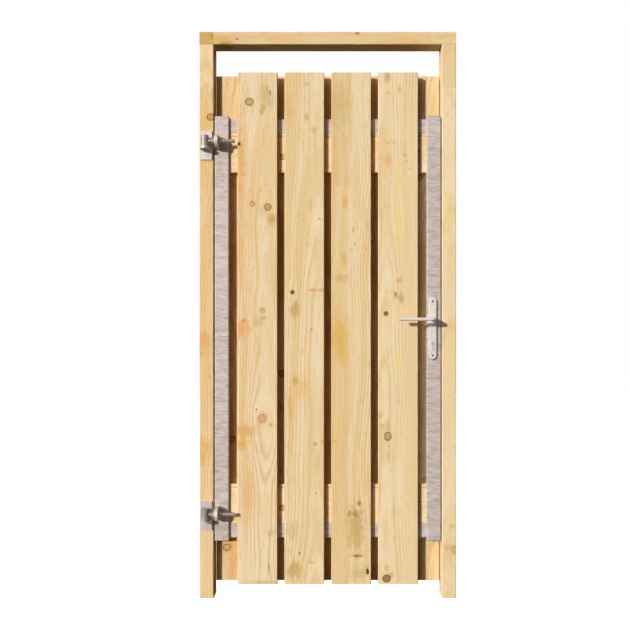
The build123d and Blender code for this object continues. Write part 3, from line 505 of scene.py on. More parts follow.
@dataclass(frozen=True)
class PineFinish:
    """One impregnated pine timber, planed in front, with its own rings, knots and stains."""

    node: str
    seed: float
    grain: Grain = Grain.UPRIGHT
    pith: tuple[float, float] = (0.5, 0.05)
    ring: float = 0.008
    figure: float = 0.7
    contrast: float = 0.45
    pale: Colour = tint(239, 220, 184)
    tan: Colour = tint(231, 199, 145)
    late: Colour = tint(222, 174, 108)
    knots: tuple[Knot, ...] = ()
    stains: tuple[Stain, ...] = ()
    patches: tuple[Patch, ...] = ()
    # Share of darkening on sides and back: partly sawn wood, partly painted shade in the gaps between boards.
    sawn_and_gap_shade: float = 0.0

    def place(self, across: float, along: float, depth: float = 0.0) -> Vector:
        """Returns a point of the timber, turned so that its grain lies along Z.

        Args:
            across: the share of the timber's width.
            along: the share of its length.
            depth: how far behind its front the point is, in metres.

        Returns:
            The point.
        """
        low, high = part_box(self.node)
        if self.grain is Grain.ACROSS:
            low, high = Vector((low.z, low.y, low.x)), Vector((high.z, high.y, high.x))
        return Vector((low.x + across * (high.x - low.x), low.y + depth, low.z + along * (high.z - low.z)))

    def add_marks(self, graph: Graph, where: Input, colour: Input) -> Input:
        """Lays the patches and the stains over the wood.

        Args:
            graph: the material's graph.
            where: the point that is shaded, its grain along Z.
            colour: the wood's colour.

        Returns:
            The marked colour.
        """
        for patch in self.patches:
            mask = effect(
                graph, Effect.PATCH, Vector=where, Low=self.place(*patch.low),
                High=self.place(*patch.high), Strength=patch.strength,
            )
            colour = graph.mix(mask.outputs["Mask"], colour, patch.colour)
        for stain in self.stains:
            mask = effect(graph, Effect.STAIN, Vector=where, Centre=self.place(stain.across, stain.along),
                          Width=stain.width, Length=stain.length, Strength=stain.strength)
            colour = graph.mix(mask.outputs["Mask"], colour, stain.colour)
        return colour

    def material(self) -> bpy.types.Material:
        """Builds the timber's material.

        Returns:
            The material.
        """
        material, graph, shader = new_material(f"pine_{self.node}")
        where = graph.add("ShaderNodeTexCoord").outputs["Object"]
        if self.grain is Grain.ACROSS:
            x, y, z = graph.split(where)
            where = graph.join(z, y, x)
        shapes = [
            effect(
                graph, Effect.KNOT, Vector=where, Centre=self.place(k.across, k.along),
                Radius=k.radius * CORE_SHARE, Stretch=k.stretch,
            )
            for k in self.knots
        ]
        warp: Input = 0.0
        for shape in shapes:
            warp = graph.math("ADD", shape.outputs["Warp"], warp)
        pith = self.place(self.pith[0], 0.0, self.pith[1])
        pine = effect(
            graph, Effect.PINE, Vector=where, Pith=(pith.x, pith.y, 0.0), Seed=self.seed,
            Warp=warp, Ring=self.ring, Figure=self.figure, Contrast=self.contrast,
            Pale=self.pale, Tan=self.tan, Late=self.late,
        )
        colour = self.add_marks(graph, where, pine.outputs["Color"])
        for knot, shape in zip(self.knots, shapes):
            colour = graph.mix(graph.math("MULTIPLY", shape.outputs["Halo"], knot.halo), colour, self.late)
            heart = graph.mix(graph.math("MULTIPLY", shape.outputs["Rings"], 0.4), knot.core, knot.rim)
            colour = graph.mix(graph.math("MULTIPLY", shape.outputs["Core"], knot.strength), colour, heart)
            colour = graph.mix(graph.math("MULTIPLY", shape.outputs["Rim"], knot.strength), colour, knot.rim)
        # Painted shade: from 3 mm behind the front, sides and back are multiplied darker, partly for sawn
        # wood, partly as shade in the gaps between boards.
        front = self.place(0.0, 0.0).y
        behind = graph.ease(graph.split(where)[1], front + 0.003, front + 0.0045)
        colour = graph.mix(graph.math("MULTIPLY", behind, self.sawn_and_gap_shade), colour, SAWN_AND_GAP_SHADE, "MULTIPLY")
        graph.feed(shader, "Base Color", colour)
        graph.feed(shader, "Roughness", pine.outputs["Roughness"])
        graph.feed(shader, "Specular IOR Level", 0.0)
        raise_surface(graph, shader, pine.outputs["Height"], 0.0006)
        return material


@dataclass(frozen=True)
class ZincFinish:
    """Hot-dip galvanised tube with fine streaks across it."""

    name: str = "galvanised_tube"
    base: Colour = tint(200, 187, 180)
    dark: Colour = tint(176, 162, 154)
    bright: Colour = tint(212, 202, 196)
    metallic: float = 0.15

    def material(self) -> bpy.types.Material:
        """Builds the zinc's material.

        Returns:
            The material.
        """
        material, graph, shader = new_material(self.name)
        where = graph.add("ShaderNodeTexCoord").outputs["Object"]
        zinc = effect(graph, Effect.ZINC, Vector=where, Base=self.base, Dark=self.dark, Bright=self.bright)
        graph.feed(shader, "Base Color", zinc.outputs["Color"])
        graph.feed(shader, "Roughness", zinc.outputs["Roughness"])
        graph.feed(shader, "Metallic", self.metallic)
        raise_surface(graph, shader, zinc.outputs["Height"], 0.0003)
        return material


@dataclass(frozen=True)
class MetalFinish:
    """A smooth metal with a little wear."""

    name: str
    base: Colour
    dull: Colour
    metallic: float = 0.8
    roughness: float = 0.25
    wear: float = 0.5
    thread_from: float = math.inf

    def material(self) -> bpy.types.Material:
        """Builds the metal's material, with a thread past thread_from along X.

        Returns:
            The material.
        """
        material, graph, shader = new_material(self.name)
        where = graph.add("ShaderNodeTexCoord").outputs["Object"]
        metal = effect(graph, Effect.METAL, Vector=where, Base=self.base, Dull=self.dull, Wear=self.wear,
                       Roughness=self.roughness)
        graph.feed(shader, "Base Color", metal.outputs["Color"])
        graph.feed(shader, "Roughness", metal.outputs["Roughness"])
        graph.feed(shader, "Metallic", self.metallic)
        if math.isinf(self.thread_from):
            raise_surface(graph, shader, metal.outputs["Height"], 0.0001)
            return material
        x = graph.split(where)[0]
        ridge = graph.math("SINE", graph.math("MULTIPLY", x, math.tau / 0.00175))
        started = graph.math("GREATER_THAN", x, self.thread_from)
        raise_surface(graph, shader, graph.math("MULTIPLY", ridge, started), 0.0005)
        return material


# ---------------------------------------------------------------------------------------
# Sub-assemblies
# ---------------------------------------------------------------------------------------
@dataclass
class DoorFrame:
    """The jambs, their upper lengths and the lintel."""

    jamb_ring: float = 0.0058

    def finishes(self) -> Iterable[PineFinish]:
        """Returns the finish of each timber of the frame."""
        return (
            PineFinish(
                "left_jamb", 1.3, pith=(1.6, 0.09), ring=self.jamb_ring, contrast=0.7,
                pale=tint(238, 212, 168), tan=tint(233, 196, 136), late=tint(226, 172, 106),
                knots=(Knot(0.80, 0.942, 0.0145, 0.9, rim=tint(110, 70, 40)),),
                stains=(
                    Stain(0.35, 0.90, 0.05, 0.16, GOLD, 0.5), Stain(0.39, 0.515, 0.008, 0.007, ORANGE, 0.9),
                    Stain(0.25, 0.505, 0.026, 0.032, WASH, 0.9), Stain(0.08, 0.480, 0.014, 0.016, OLIVE, 0.7),
                    Stain(0.80, 0.492, 0.018, 0.030, GREEN, 0.3),
                    Stain(0.30, 0.2995, 0.026, 0.028, WASH, 0.85),
                    Stain(0.14, 0.2745, 0.020, 0.024, GOLD, 0.8),
                    Stain(0.75, 0.285, 0.014, 0.030, GREEN, 0.3),
                ),
            ),
            PineFinish(
                "right_jamb", 2.1, pith=(0.5, 0.08), ring=0.009, figure=0.6, contrast=0.4,
                pale=tint(240, 220, 182), tan=tint(233, 205, 152), late=tint(226, 186, 122),
                knots=(Knot(0.92, 0.095, 0.013, 1.2, tint(206, 172, 108), tint(176, 136, 78), 0.6, 0.5),),
                stains=(
                    Stain(0.70, 0.141, 0.012, 0.010, GOLD, 0.7), Stain(0.55, 0.100, 0.026, 0.012, OLIVE, 0.4),
                    Stain(0.85, 0.50, 0.012, 0.06, YELLOW, 0.4), Stain(0.3, 0.75, 0.02, 0.08, YELLOW, 0.3),
                ),
            ),
            PineFinish("left_jamb_extension", 3.4, pith=(0.4, 0.16), ring=0.006, figure=0.4, contrast=0.4,
                       pale=tint(241, 216, 172), tan=tint(236, 203, 150)),
            PineFinish("right_jamb_extension", 4.2, pith=(0.5, 0.12), ring=0.009, figure=0.5, contrast=0.3,
                       pale=tint(236, 213, 168), tan=tint(230, 200, 146)),
            PineFinish(
                "lintel", 5.6, grain=Grain.ACROSS, pith=(0.3, 0.05), ring=0.008, figure=0.6, contrast=0.4,
                pale=tint(237, 214, 172), tan=tint(230, 198, 142), late=tint(218, 174, 110),
                knots=(Knot(0.88, 0.615, 0.005, 1.6, rim=tint(120, 80, 40)),
                       Knot(0.43, 0.146, 0.0035, 1.4, BROWN, BROWN, 0.8)),
                stains=(Stain(0.35, 0.085, 0.014, 0.04, GOLD, 0.7),
                        Stain(0.12, 0.10, 0.006, 0.03, BROWN, 0.5),
                        Stain(0.3, 0.32, 0.012, 0.06, WASH, 0.4), Stain(0.25, 0.80, 0.02, 0.10, GOLD, 0.35)),
                patches=(Patch((-0.1, -0.1), (1.1, 0.0548), tint(204, 166, 92), 0.75),
                         Patch((0.35, 0.040), (0.85, 0.0548), tint(150, 112, 56), 0.35)),
            ),
        )

    def dress(self) -> None:
        """Puts the timbers' finishes on the frame."""
        for finish in self.finishes():
            dress(finish.node, finish.material())
        dress("jamb_dowels", PineFinish("jamb_dowels", 6.0, contrast=0.2).material())


@dataclass
class Leaf:
    """The boards and timber rails of the leaf, and its steel frame."""

    back_pale: Colour = tint(239, 211, 164)
    back_tan: Colour = tint(229, 191, 134)

    def front_boards(self) -> Iterable[PineFinish]:
        """Returns the finishes of the four boards that stand in front."""
        return (
            PineFinish(
                "front_board_1", 11.3, sawn_and_gap_shade=0.75, pith=(0.68, 0.035), ring=0.0095, contrast=0.6,
                tan=tint(232, 196, 138), late=tint(224, 172, 108),
                knots=(
                    Knot(0.30, 0.9425, 0.0145, 0.95, tint(222, 180, 118), tint(96, 62, 40)),
                    Knot(0.37, 0.7437, 0.0092, 1.0, tint(222, 186, 132), tint(170, 112, 66)),
                    Knot(0.757, 0.737, 0.0135, 1.0, tint(208, 158, 108), tint(158, 92, 56)),
                    Knot(0.626, 0.5347, 0.0105, 1.0, tint(206, 180, 142), tint(200, 168, 122), 0.85),
                    Knot(0.624, 0.324, 0.0165, 1.0, tint(212, 176, 130), tint(196, 152, 102), 0.85),
                    Knot(0.475, 0.3419, 0.0028, 1.1, DARK, DARK, 0.8, 0.0),
                ),
                stains=(
                    Stain(0.08, 0.82, 0.020, 0.20, WASH, 0.8), Stain(0.05, 0.64, 0.018, 0.16, WASH, 0.6),
                    Stain(0.72, 0.952, 0.026, 0.045, OLIVE, 0.5),
                    Stain(0.82, 0.961, 0.003, 0.010, BROWN, 0.8),
                    Stain(0.62, 0.927, 0.010, 0.022, OLIVE, 0.6),
                    Stain(0.85, 0.714, 0.018, 0.018, OLIVE, 0.8),
                    Stain(0.62, 0.728, 0.022, 0.020, GREEN, 0.35),
                    Stain(0.155, 0.5147, 0.009, 0.008, ORANGE, 1.0),
                    Stain(0.10, 0.498, 0.030, 0.036, WASH, 1.0), Stain(0.50, 0.512, 0.022, 0.018, GREEN, 0.6),
                    Stain(0.66, 0.521, 0.010, 0.008, OLIVE, 0.7), Stain(0.93, 0.56, 0.004, 0.09, GOLD, 0.6),
                    Stain(0.14, 0.2985, 0.032, 0.026, WASH, 1.0), Stain(0.12, 0.274, 0.020, 0.022, GOLD, 0.9),
                    Stain(0.40, 0.300, 0.020, 0.018, GREEN, 0.5),
                    Stain(0.84, 0.311, 0.008, 0.010, OLIVE, 0.7),
                    Stain(0.78, 0.031, 0.002, 0.022, BROWN, 0.9),
                    Stain(0.83, 0.100, 0.018, 0.012, OLIVE, 0.45),
                    Stain(0.62, 0.002, 0.050, 0.012, GREEN, 0.7), Stain(0.25, 0.17, 0.03, 0.10, WASH, 0.5),
                ),
            ),
            PineFinish(
                "front_board_2", 23.7, sawn_and_gap_shade=0.75, pith=(0.85, 0.07), ring=0.0095, figure=0.85, contrast=0.5,
                pale=tint(239, 220, 182), tan=tint(230, 201, 148),
                knots=(
                    Knot(0.20, 0.5706, 0.0072, 1.05, tint(120, 84, 48), tint(92, 62, 36), 0.95, 0.6),
                    Knot(0.295, 0.5455, 0.006, 1.6, tint(220, 184, 124), tint(160, 118, 64), 0.5, 0.5),
                    Knot(0.385, 0.0607, 0.0032, 1.4, BROWN, BROWN, 0.8, 0.4),
                ),
                stains=(
                    Stain(0.26, 0.535, 0.016, 0.026, OLIVE, 0.8),
                    Stain(0.72, 0.5747, 0.014, 0.006, ORANGE, 0.55),
                    Stain(0.93, 0.5747, 0.010, 0.007, ORANGE, 0.6),
                    Stain(0.354, 0.7198, 0.006, 0.004, GOLD, 0.9),
                    Stain(0.88, 0.714, 0.006, 0.004, GOLD, 0.9), Stain(0.653, 0.742, 0.006, 0.022, GOLD, 0.7),
                    Stain(0.665, 0.674, 0.008, 0.008, YELLOW, 0.8),
                    Stain(0.677, 0.4992, 0.004, 0.004, ORANGE, 0.9),
                    Stain(0.55, 0.978, 0.010, 0.008, OLIVE, 0.6),
                    Stain(0.55, 0.913, 0.008, 0.014, OLIVE, 0.7),
                    Stain(0.74, 0.887, 0.014, 0.010, WASH, 0.8), Stain(0.12, 0.93, 0.012, 0.06, WASH, 0.6),
                    Stain(0.286, 0.3985, 0.011, 0.018, OLIVE, 0.8),
                    Stain(0.14, 0.345, 0.007, 0.075, WASH, 0.9),
                    Stain(0.42, 0.384, 0.030, 0.040, GOLD, 0.45),
                    Stain(0.77, 0.2747, 0.007, 0.006, ORANGE, 0.7),
                    Stain(0.95, 0.278, 0.006, 0.007, GOLD, 0.8),
                    Stain(0.24, 0.0294, 0.026, 0.030, OLIVE, 0.85),
                    Stain(0.30, 0.024, 0.012, 0.014, GREEN, 0.5), Stain(0.67, 0.043, 0.009, 0.006, GOLD, 0.9),
                    Stain(0.80, 0.1776, 0.004, 0.004, ORANGE, 0.8),
                    Stain(0.22, 0.105, 0.020, 0.03, OLIVE, 0.4),
                ),
            ),
            PineFinish(
                "front_board_3", 31.9, sawn_and_gap_shade=0.75, pith=(1.3, 0.05), ring=0.0085, figure=0.8, contrast=0.55,
                pale=tint(238, 219, 182), tan=tint(230, 199, 143),
                knots=(
                    Knot(0.909, 0.0253, 0.0055, 1.9, DARK, tint(60, 46, 26), 0.95, 0.3),
                    Knot(0.70, 0.158, 0.0055, 1.6, tint(168, 128, 62), BROWN, 0.8, 0.4),
                ),
                stains=(
                    Stain(0.2, 0.93, 0.036, 0.09, OLIVE, 0.4), Stain(0.22, 0.9366, 0.006, 0.004, GOLD, 0.9),
                    Stain(0.41, 0.938, 0.006, 0.005, GOLD, 0.8), Stain(0.35, 0.7457, 0.010, 0.022, GOLD, 0.8),
                    Stain(0.56, 0.692, 0.005, 0.012, GOLD, 0.9), Stain(0.32, 0.634, 0.009, 0.028, GOLD, 0.7),
                    Stain(0.23, 0.597, 0.022, 0.016, OLIVE, 0.5), Stain(0.60, 0.665, 0.006, 0.005, GOLD, 0.9),
                    Stain(0.51, 0.654, 0.005, 0.004, GOLD, 0.8), Stain(0.85, 0.656, 0.005, 0.006, GOLD, 0.7),
                    Stain(0.18, 0.485, 0.036, 0.060, GOLD, 0.75), Stain(0.27, 0.445, 0.018, 0.040, GOLD, 0.6),
                    Stain(0.62, 0.11, 0.032, 0.085, OLIVE, 0.75),
                    Stain(0.70, 0.124, 0.009, 0.016, GREEN, 0.9),
                    Stain(0.48, 0.09, 0.010, 0.030, GREEN, 0.6),
                    Stain(0.66, 0.0554, 0.022, 0.005, BROWN, 0.85),
                    Stain(0.56, 0.138, 0.022, 0.012, BROWN, 0.5),
                    Stain(0.91, 0.036, 0.004, 0.010, GREEN, 0.8),
                    Stain(0.70, 0.022, 0.035, 0.022, OLIVE, 0.45),
                    Stain(0.72, 0.55, 0.010, 0.05, YELLOW, 0.4),
                    Stain(0.05, 0.28, 0.014, 0.006, GOLD, 0.6),
                ),
                patches=(Patch((-0.1, -0.1), (0.425, 0.875), tint(226, 188, 124), 0.38),
                         Patch((-0.1, 0.78), (0.50, 1.1), tint(220, 184, 118), 0.32)),
            ),
            PineFinish(
                "front_board_4", 43.2, sawn_and_gap_shade=0.75, pith=(0.2, 0.04), ring=0.0095, figure=0.75, contrast=0.5,
                pale=tint(239, 220, 182), tan=tint(232, 202, 148),
                knots=(
                    Knot(0.194, 0.529, 0.0082, 1.0, tint(140, 98, 66), tint(98, 66, 42), 0.9, 0.4),
                    Knot(0.238, 0.289, 0.0125, 1.35, tint(206, 170, 122), tint(136, 92, 54), 0.9, 0.4),
                    Knot(0.209, 0.0113, 0.0150, 0.95, tint(172, 126, 84), tint(116, 74, 44), 0.95, 0.4),
                    Knot(0.70, 0.827, 0.0028, 1.1, ORANGE, ORANGE, 0.8, 0.0),
                    Knot(0.777, 0.812, 0.0020, 1.1, BROWN, BROWN, 0.7, 0.0),
                ),
                stains=(
                    Stain(0.23, 0.992, 0.012, 0.020, OLIVE, 0.7),
                    Stain(0.536, 0.966, 0.005, 0.014, GOLD, 0.9),
                    Stain(0.23, 0.96, 0.008, 0.004, GOLD, 0.7), Stain(0.23, 0.863, 0.007, 0.006, GOLD, 0.8),
                    Stain(0.41, 0.863, 0.007, 0.006, GOLD, 0.7), Stain(0.26, 0.829, 0.015, 0.026, WASH, 0.7),
                    Stain(0.68, 0.838, 0.008, 0.004, GOLD, 1.0), Stain(0.50, 0.80, 0.008, 0.06, YELLOW, 0.8),
                    Stain(0.52, 0.70, 0.012, 0.07, YELLOW, 0.8),
                    Stain(0.536, 0.5937, 0.011, 0.010, GOLD, 0.9),
                    Stain(0.435, 0.566, 0.006, 0.012, tint(200, 132, 48), 0.95),
                    Stain(0.58, 0.5597, 0.010, 0.018, tint(182, 160, 112), 0.75),
                    Stain(0.49, 0.437, 0.008, 0.045, YELLOW, 0.8),
                    Stain(0.06, 0.331, 0.010, 0.012, ORANGE, 0.45),
                    Stain(0.246, 0.3085, 0.009, 0.020, GREEN, 0.8),
                    Stain(0.10, 0.308, 0.010, 0.012, GOLD, 0.6),
                    Stain(0.26, 0.253, 0.004, 0.028, WASH, 0.9),
                    Stain(0.203, 0.033, 0.008, 0.012, GREEN, 0.7),
                    Stain(0.32, 0.018, 0.008, 0.010, OLIVE, 0.7), Stain(0.40, 0.14, 0.006, 0.05, GOLD, 0.35),
                    Stain(0.28, 0.38, 0.0016, 0.06, BROWN, 0.45),
                ),
                patches=(Patch((0.64, -0.1), (1.1, 0.80), tint(234, 208, 160), 0.6),),
            ),
        )

    def back_boards(self) -> Iterable[PineFinish]:
        """Returns the finishes of the boards behind, each with its own figure."""
        for number in range(1, 6):
            knots = (
                Knot(0.3 + 0.1 * (number % 3), 0.15 + 0.13 * number, 0.012, rim=BROWN),
                Knot(0.75 - 0.1 * (number % 2), 0.9 - 0.14 * number, 0.009, strength=0.7),
            )
            if number == 1:
                knots += (Knot(0.266, 0.065, 0.0145, 0.85, tint(224, 184, 122), tint(110, 74, 44)),)
            yield PineFinish(
                f"back_board_{number}", 50.0 + 3.3 * number, pith=(0.2 + 0.15 * number, 0.08), ring=0.0075,
                contrast=0.6, pale=self.back_pale, tan=self.back_tan, late=tint(205, 150, 84), knots=knots,
                stains=(Stain(0.5, 0.1, 0.05, 0.08, GOLD, 0.5), Stain(0.6, 0.62, 0.04, 0.12, OLIVE, 0.5)),
            )

    def rails(self) -> Iterable[PineFinish]:
        """Returns the finishes of the two timber rails."""
        for seed, node in enumerate(("top_timber_rail", "bottom_timber_rail")):
            yield PineFinish(
                node, 70.0 + 4.1 * seed, grain=Grain.ACROSS, pith=(0.6, 0.08), ring=0.010, contrast=0.4,
                knots=(Knot(0.55, 0.963, 0.003, 1.0, DARK, DARK), Knot(0.4, 0.27, 0.011)),
                patches=(Patch((0.905, -0.1), (0.94, 1.1), tint(190, 140, 76), 0.5),),
            )

    def dress(self) -> None:
        """Puts the finishes on the boards, the rails and the tubes."""
        for finish in (*self.front_boards(), *self.back_boards(), *self.rails()):
            dress(finish.node, finish.material())
        tube = ZincFinish().material()
        for node in ("hinge_stile", "lock_stile", "top_steel_rail", "bottom_steel_rail"):
            dress(node, tube)
        cap = MetalFinish("grey_cap", tint(124, 122, 120), tint(96, 95, 94), 0.0, 0.5, 0.4)
        dress("stile_end_caps", cap.material())


@dataclass
class Hinges:
    """The two pintle hinges with their plates, pins, eye bolts, nuts and lugs."""

    barrel_clearance: float = 0.033
    plate: MetalFinish = MetalFinish("zinc_plate", tint(196, 189, 186), tint(174, 167, 162), 0.4, 0.4, 0.35)
    lug: MetalFinish = MetalFinish("lug_steel", tint(214, 203, 195), tint(166, 150, 138), 0.35, 0.38, 0.45)
    pin: MetalFinish = MetalFinish("pin_steel", tint(176, 165, 156), tint(136, 123, 112), 0.35, 0.5, 0.4)
    eye_bright: Colour = tint(166, 152, 141)
    eye_dull: Colour = tint(116, 102, 92)

    def dress(self) -> None:
        """Puts the finishes on both hinges."""
        plate, lug, pin = (finish.material() for finish in (self.plate, self.lug, self.pin))
        nut = MetalFinish("nut_steel", self.eye_bright, self.eye_dull, 0.45, 0.36, 0.6).material()
        for side in ("upper", "lower"):
            thread_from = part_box(f"{side}_eye_bolt")[0].x + self.barrel_clearance
            eye = MetalFinish(
                f"{side}_eye_steel", self.eye_bright, self.eye_dull, 0.4, 0.42, 0.5, thread_from
            )
            dress(f"{side}_pintle_plate", plate)
            dress(f"{side}_pintle_pin", pin)
            dress(f"{side}_eye_bolt", eye.material())
            dress(f"{side}_hinge_nuts", nut)
            dress(f"{side}_hinge_lug", lug)


@dataclass
class LockSet:
    """The lock, its cylinder, the plates, the levers and the strike."""

    satin: MetalFinish = MetalFinish(
        "satin_handle", tint(226, 217, 213), tint(214, 203, 196), 0.15, 0.35, 0.5
    )
    bare: MetalFinish = MetalFinish("bare_steel", tint(200, 194, 190), tint(160, 152, 146), 0.5, 0.34, 0.5)
    nickel: MetalFinish = MetalFinish("nickel", tint(216, 206, 198), tint(190, 178, 168), 0.3, 0.3, 0.4)
    # Near-black heads: partly dark steel, partly painted shade in the deep recesses that they sit in.
    dark_head_and_recess_shade: MetalFinish = MetalFinish("socket_head_and_recess_shade", (0.06, 0.055, 0.05), (0.03, 0.03, 0.03), 0.5, 0.4, 0.4)
    spring_wire: float = 0.001
    spring_turns: int = 6
    turn_steps: int = 24
    wire_sides: int = 10
    latch_travel: float = 0.0105

    def dress(self) -> None:
        """Puts the finishes on the lock's pieces."""
        groups = {
            self.satin: ("front_escutcheon", "back_escutcheon", "front_lever", "back_lever"),
            self.bare: ("lock_case", "lock_forend", "latch_bolt", "dead_bolt", "strike_plate", "spindle",
                        "follower", "cylinder_screw"),
            self.nickel: ("cylinder_body", "cylinder_plug", "cylinder_cam"),
            self.dark_head_and_recess_shade: ("escutcheon_bolts", "lever_grub_screws"),
        }
        for finish, nodes in groups.items():
            material = finish.material()
            for node in nodes:
                dress(node, material)
        spring = MetalFinish("spring_steel", self.bare.base, self.bare.dull, 0.5, 0.34, 0.5)
        self.wind_spring(spring.material())

    def wind_spring(self, material: bpy.types.Material) -> None:
        """Winds the latch's spring as one fixed coil at its rest length.

        Args:
            material: the wire's material.
        """
        low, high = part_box("latch_spring")
        middle = (low + high) / 2
        wire = self.spring_wire / 2
        radius = (high.y - low.y) / 2 - wire
        length = high.x - low.x
        steps = self.spring_turns * self.turn_steps
        forward = Vector((1.0, 0.0, 0.0))
        mesh = bmesh.new()
        rings: list[list[bmesh.types.BMVert]] = []
        for step in range(steps + 1):
            angle = math.tau * step / self.turn_steps
            radial = Vector((0.0, math.cos(angle), math.sin(angle)))
            along = low.x + wire + (length - 2 * wire) * step / steps
            centre = Vector((along, middle.y, middle.z)) + radial * radius
            rings.append([
                mesh.verts.new(centre + wire * (math.cos(turn) * radial + math.sin(turn) * forward))
                for turn in (math.tau * side / self.wire_sides for side in range(self.wire_sides))
            ])
        for first, second in zip(rings, rings[1:]):
            for side in range(self.wire_sides):
                after = (side + 1) % self.wire_sides
                mesh.faces.new((first[side], first[after], second[after], second[side]))
        mesh.faces.new(rings[0])
        mesh.faces.new(rings[-1])
        bmesh.ops.recalc_face_normals(mesh, faces=mesh.faces)
        data = bpy.data.meshes.new("latch_coil")
        mesh.to_mesh(data)
        mesh.free()
        data.materials.append(material)
        coil = bpy.data.objects.new("latch_coil", data)
        bpy.context.scene.collection.objects.link(coil)
        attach(coil, "leaf")
        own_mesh(coil)
        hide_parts("latch_spring")
        log.info("piece latch_coil")


# ---------------------------------------------------------------------------------------
# Screws
# ---------------------------------------------------------------------------------------
DOME_SHARE = 0.72
TIP_SHARE = 1.6
POINT_RADIUS = 0.0003
BAR_WIDTH_SHARE = 0.26
BAR_LENGTH_SHARE = 1.6


class Head(Enum):
    """The form of a screw's head."""

    FLAT = "flat"
    PAN = "pan"


@dataclass(frozen=True)
class ScrewSet:
    """All the screws of one node, made by Geometry Nodes on the frame's own places."""

    node: str
    body: str
    head: Head
    towards: Vector
    head_radius: float
    head_height: float
    shank_radius: float
    recess_share: float = 0.45
    sides: int = 28
    tolerance: float = 0.0003

    def islands(self) -> list[tuple[Vector, Vector]]:
        """Reads the box of each separate solid of the node.

        Returns:
            The lowest and highest corner of each solid, in one fixed order.
        """
        mesh = bmesh.new()
        mesh.from_mesh(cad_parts[self.node].data)
        bmesh.ops.remove_doubles(mesh, verts=mesh.verts, dist=1e-6)
        left = set(mesh.verts)
        boxes = []
        while left:
            stack = [left.pop()]
            found = []
            while stack:
                vertex = stack.pop()
                found.append(vertex.co.copy())
                near = [edge.other_vert(vertex) for edge in vertex.link_edges]
                fresh = [other for other in near if other in left]
                left.difference_update(fresh)
                stack.extend(fresh)
            low = Vector([min(p[i] for p in found) for i in range(3)])
            high = Vector([max(p[i] for p in found) for i in range(3)])
            boxes.append((low, high))
        mesh.free()
        return sorted(boxes, key=lambda box: tuple(box[0]))

    def seats(self) -> tuple[list[Vector], float]:
        """Finds where each screw begins and how long the screws are.

        Returns:
            The top of each head, and one screw's length.
        """
        axis = max(range(3), key=lambda i: abs(self.towards[i]))
        tops = []
        length = 0.0
        for low, high in self.islands():
            top = (low + high) / 2
            top[axis] = low[axis] if self.towards[axis] > 0 else high[axis]
            tops.append(top)
            length = high[axis] - low[axis]
        return tops, length

    def test_size(self, mesh: bpy.types.Mesh) -> None:
        """Stops the script if the screws don't fill the node's box, heads and tips included.

        Args:
            mesh: the finished screws.
        """
        spots = [vertex.co for vertex in mesh.vertices] or [Vector()]
        for corner, pick in zip(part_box(self.node), (min, max)):
            made = Vector([pick(spot[i] for spot in spots) for i in range(3)])
            if (made - corner).length > self.tolerance:
                raise ValueError(f"the screws of {self.node} reach {made[:]} and not {corner[:]}")

    def build(self, material: bpy.types.Material) -> bpy.types.Object:
        """Makes the screws, one mesh on one body, in place of the node.

        Args:
            material: what the screws are made of.

        Returns:
            The finished piece.
        """
        tops, length = self.seats()
        points = bpy.data.meshes.new(f"{self.node}_points")
        points.from_pydata([top[:] for top in tops], [], [])
        holder = bpy.data.objects.new(f"{self.node}_points", points)
        bpy.context.collection.objects.link(holder)
        modifier = holder.modifiers.new("screws", "NODES")
        modifier.node_group = screw_tree(self.head)
        sizes = {
            "Head Radius": self.head_radius, "Head Height": self.head_height,
            "Shank Radius": self.shank_radius, "Length": length,
            "Recess": self.head_radius * self.recess_share,
            "Sides": self.sides, "Turn": self.towards.to_track_quat("Z", "Y").to_euler()[:],
            "Material": material,
        }
        for item in modifier.node_group.interface.items_tree:
            if item.name in sizes:
                modifier[item.identifier] = sizes[item.name]
        shown = holder.evaluated_get(bpy.context.evaluated_depsgraph_get())
        mesh = bpy.data.meshes.new_from_object(shown)
        mesh.name = f"{self.node}_shown"
        self.test_size(mesh)
        piece = bpy.data.objects.new(f"{self.node}_shown", mesh)
        bpy.context.collection.objects.link(piece)
        bpy.data.objects.remove(holder)
        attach(piece, self.body)
        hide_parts(self.node)
        log.info("made %d screws for %s, %d faces", len(tops), self.node, len(mesh.polygons))
        return piece


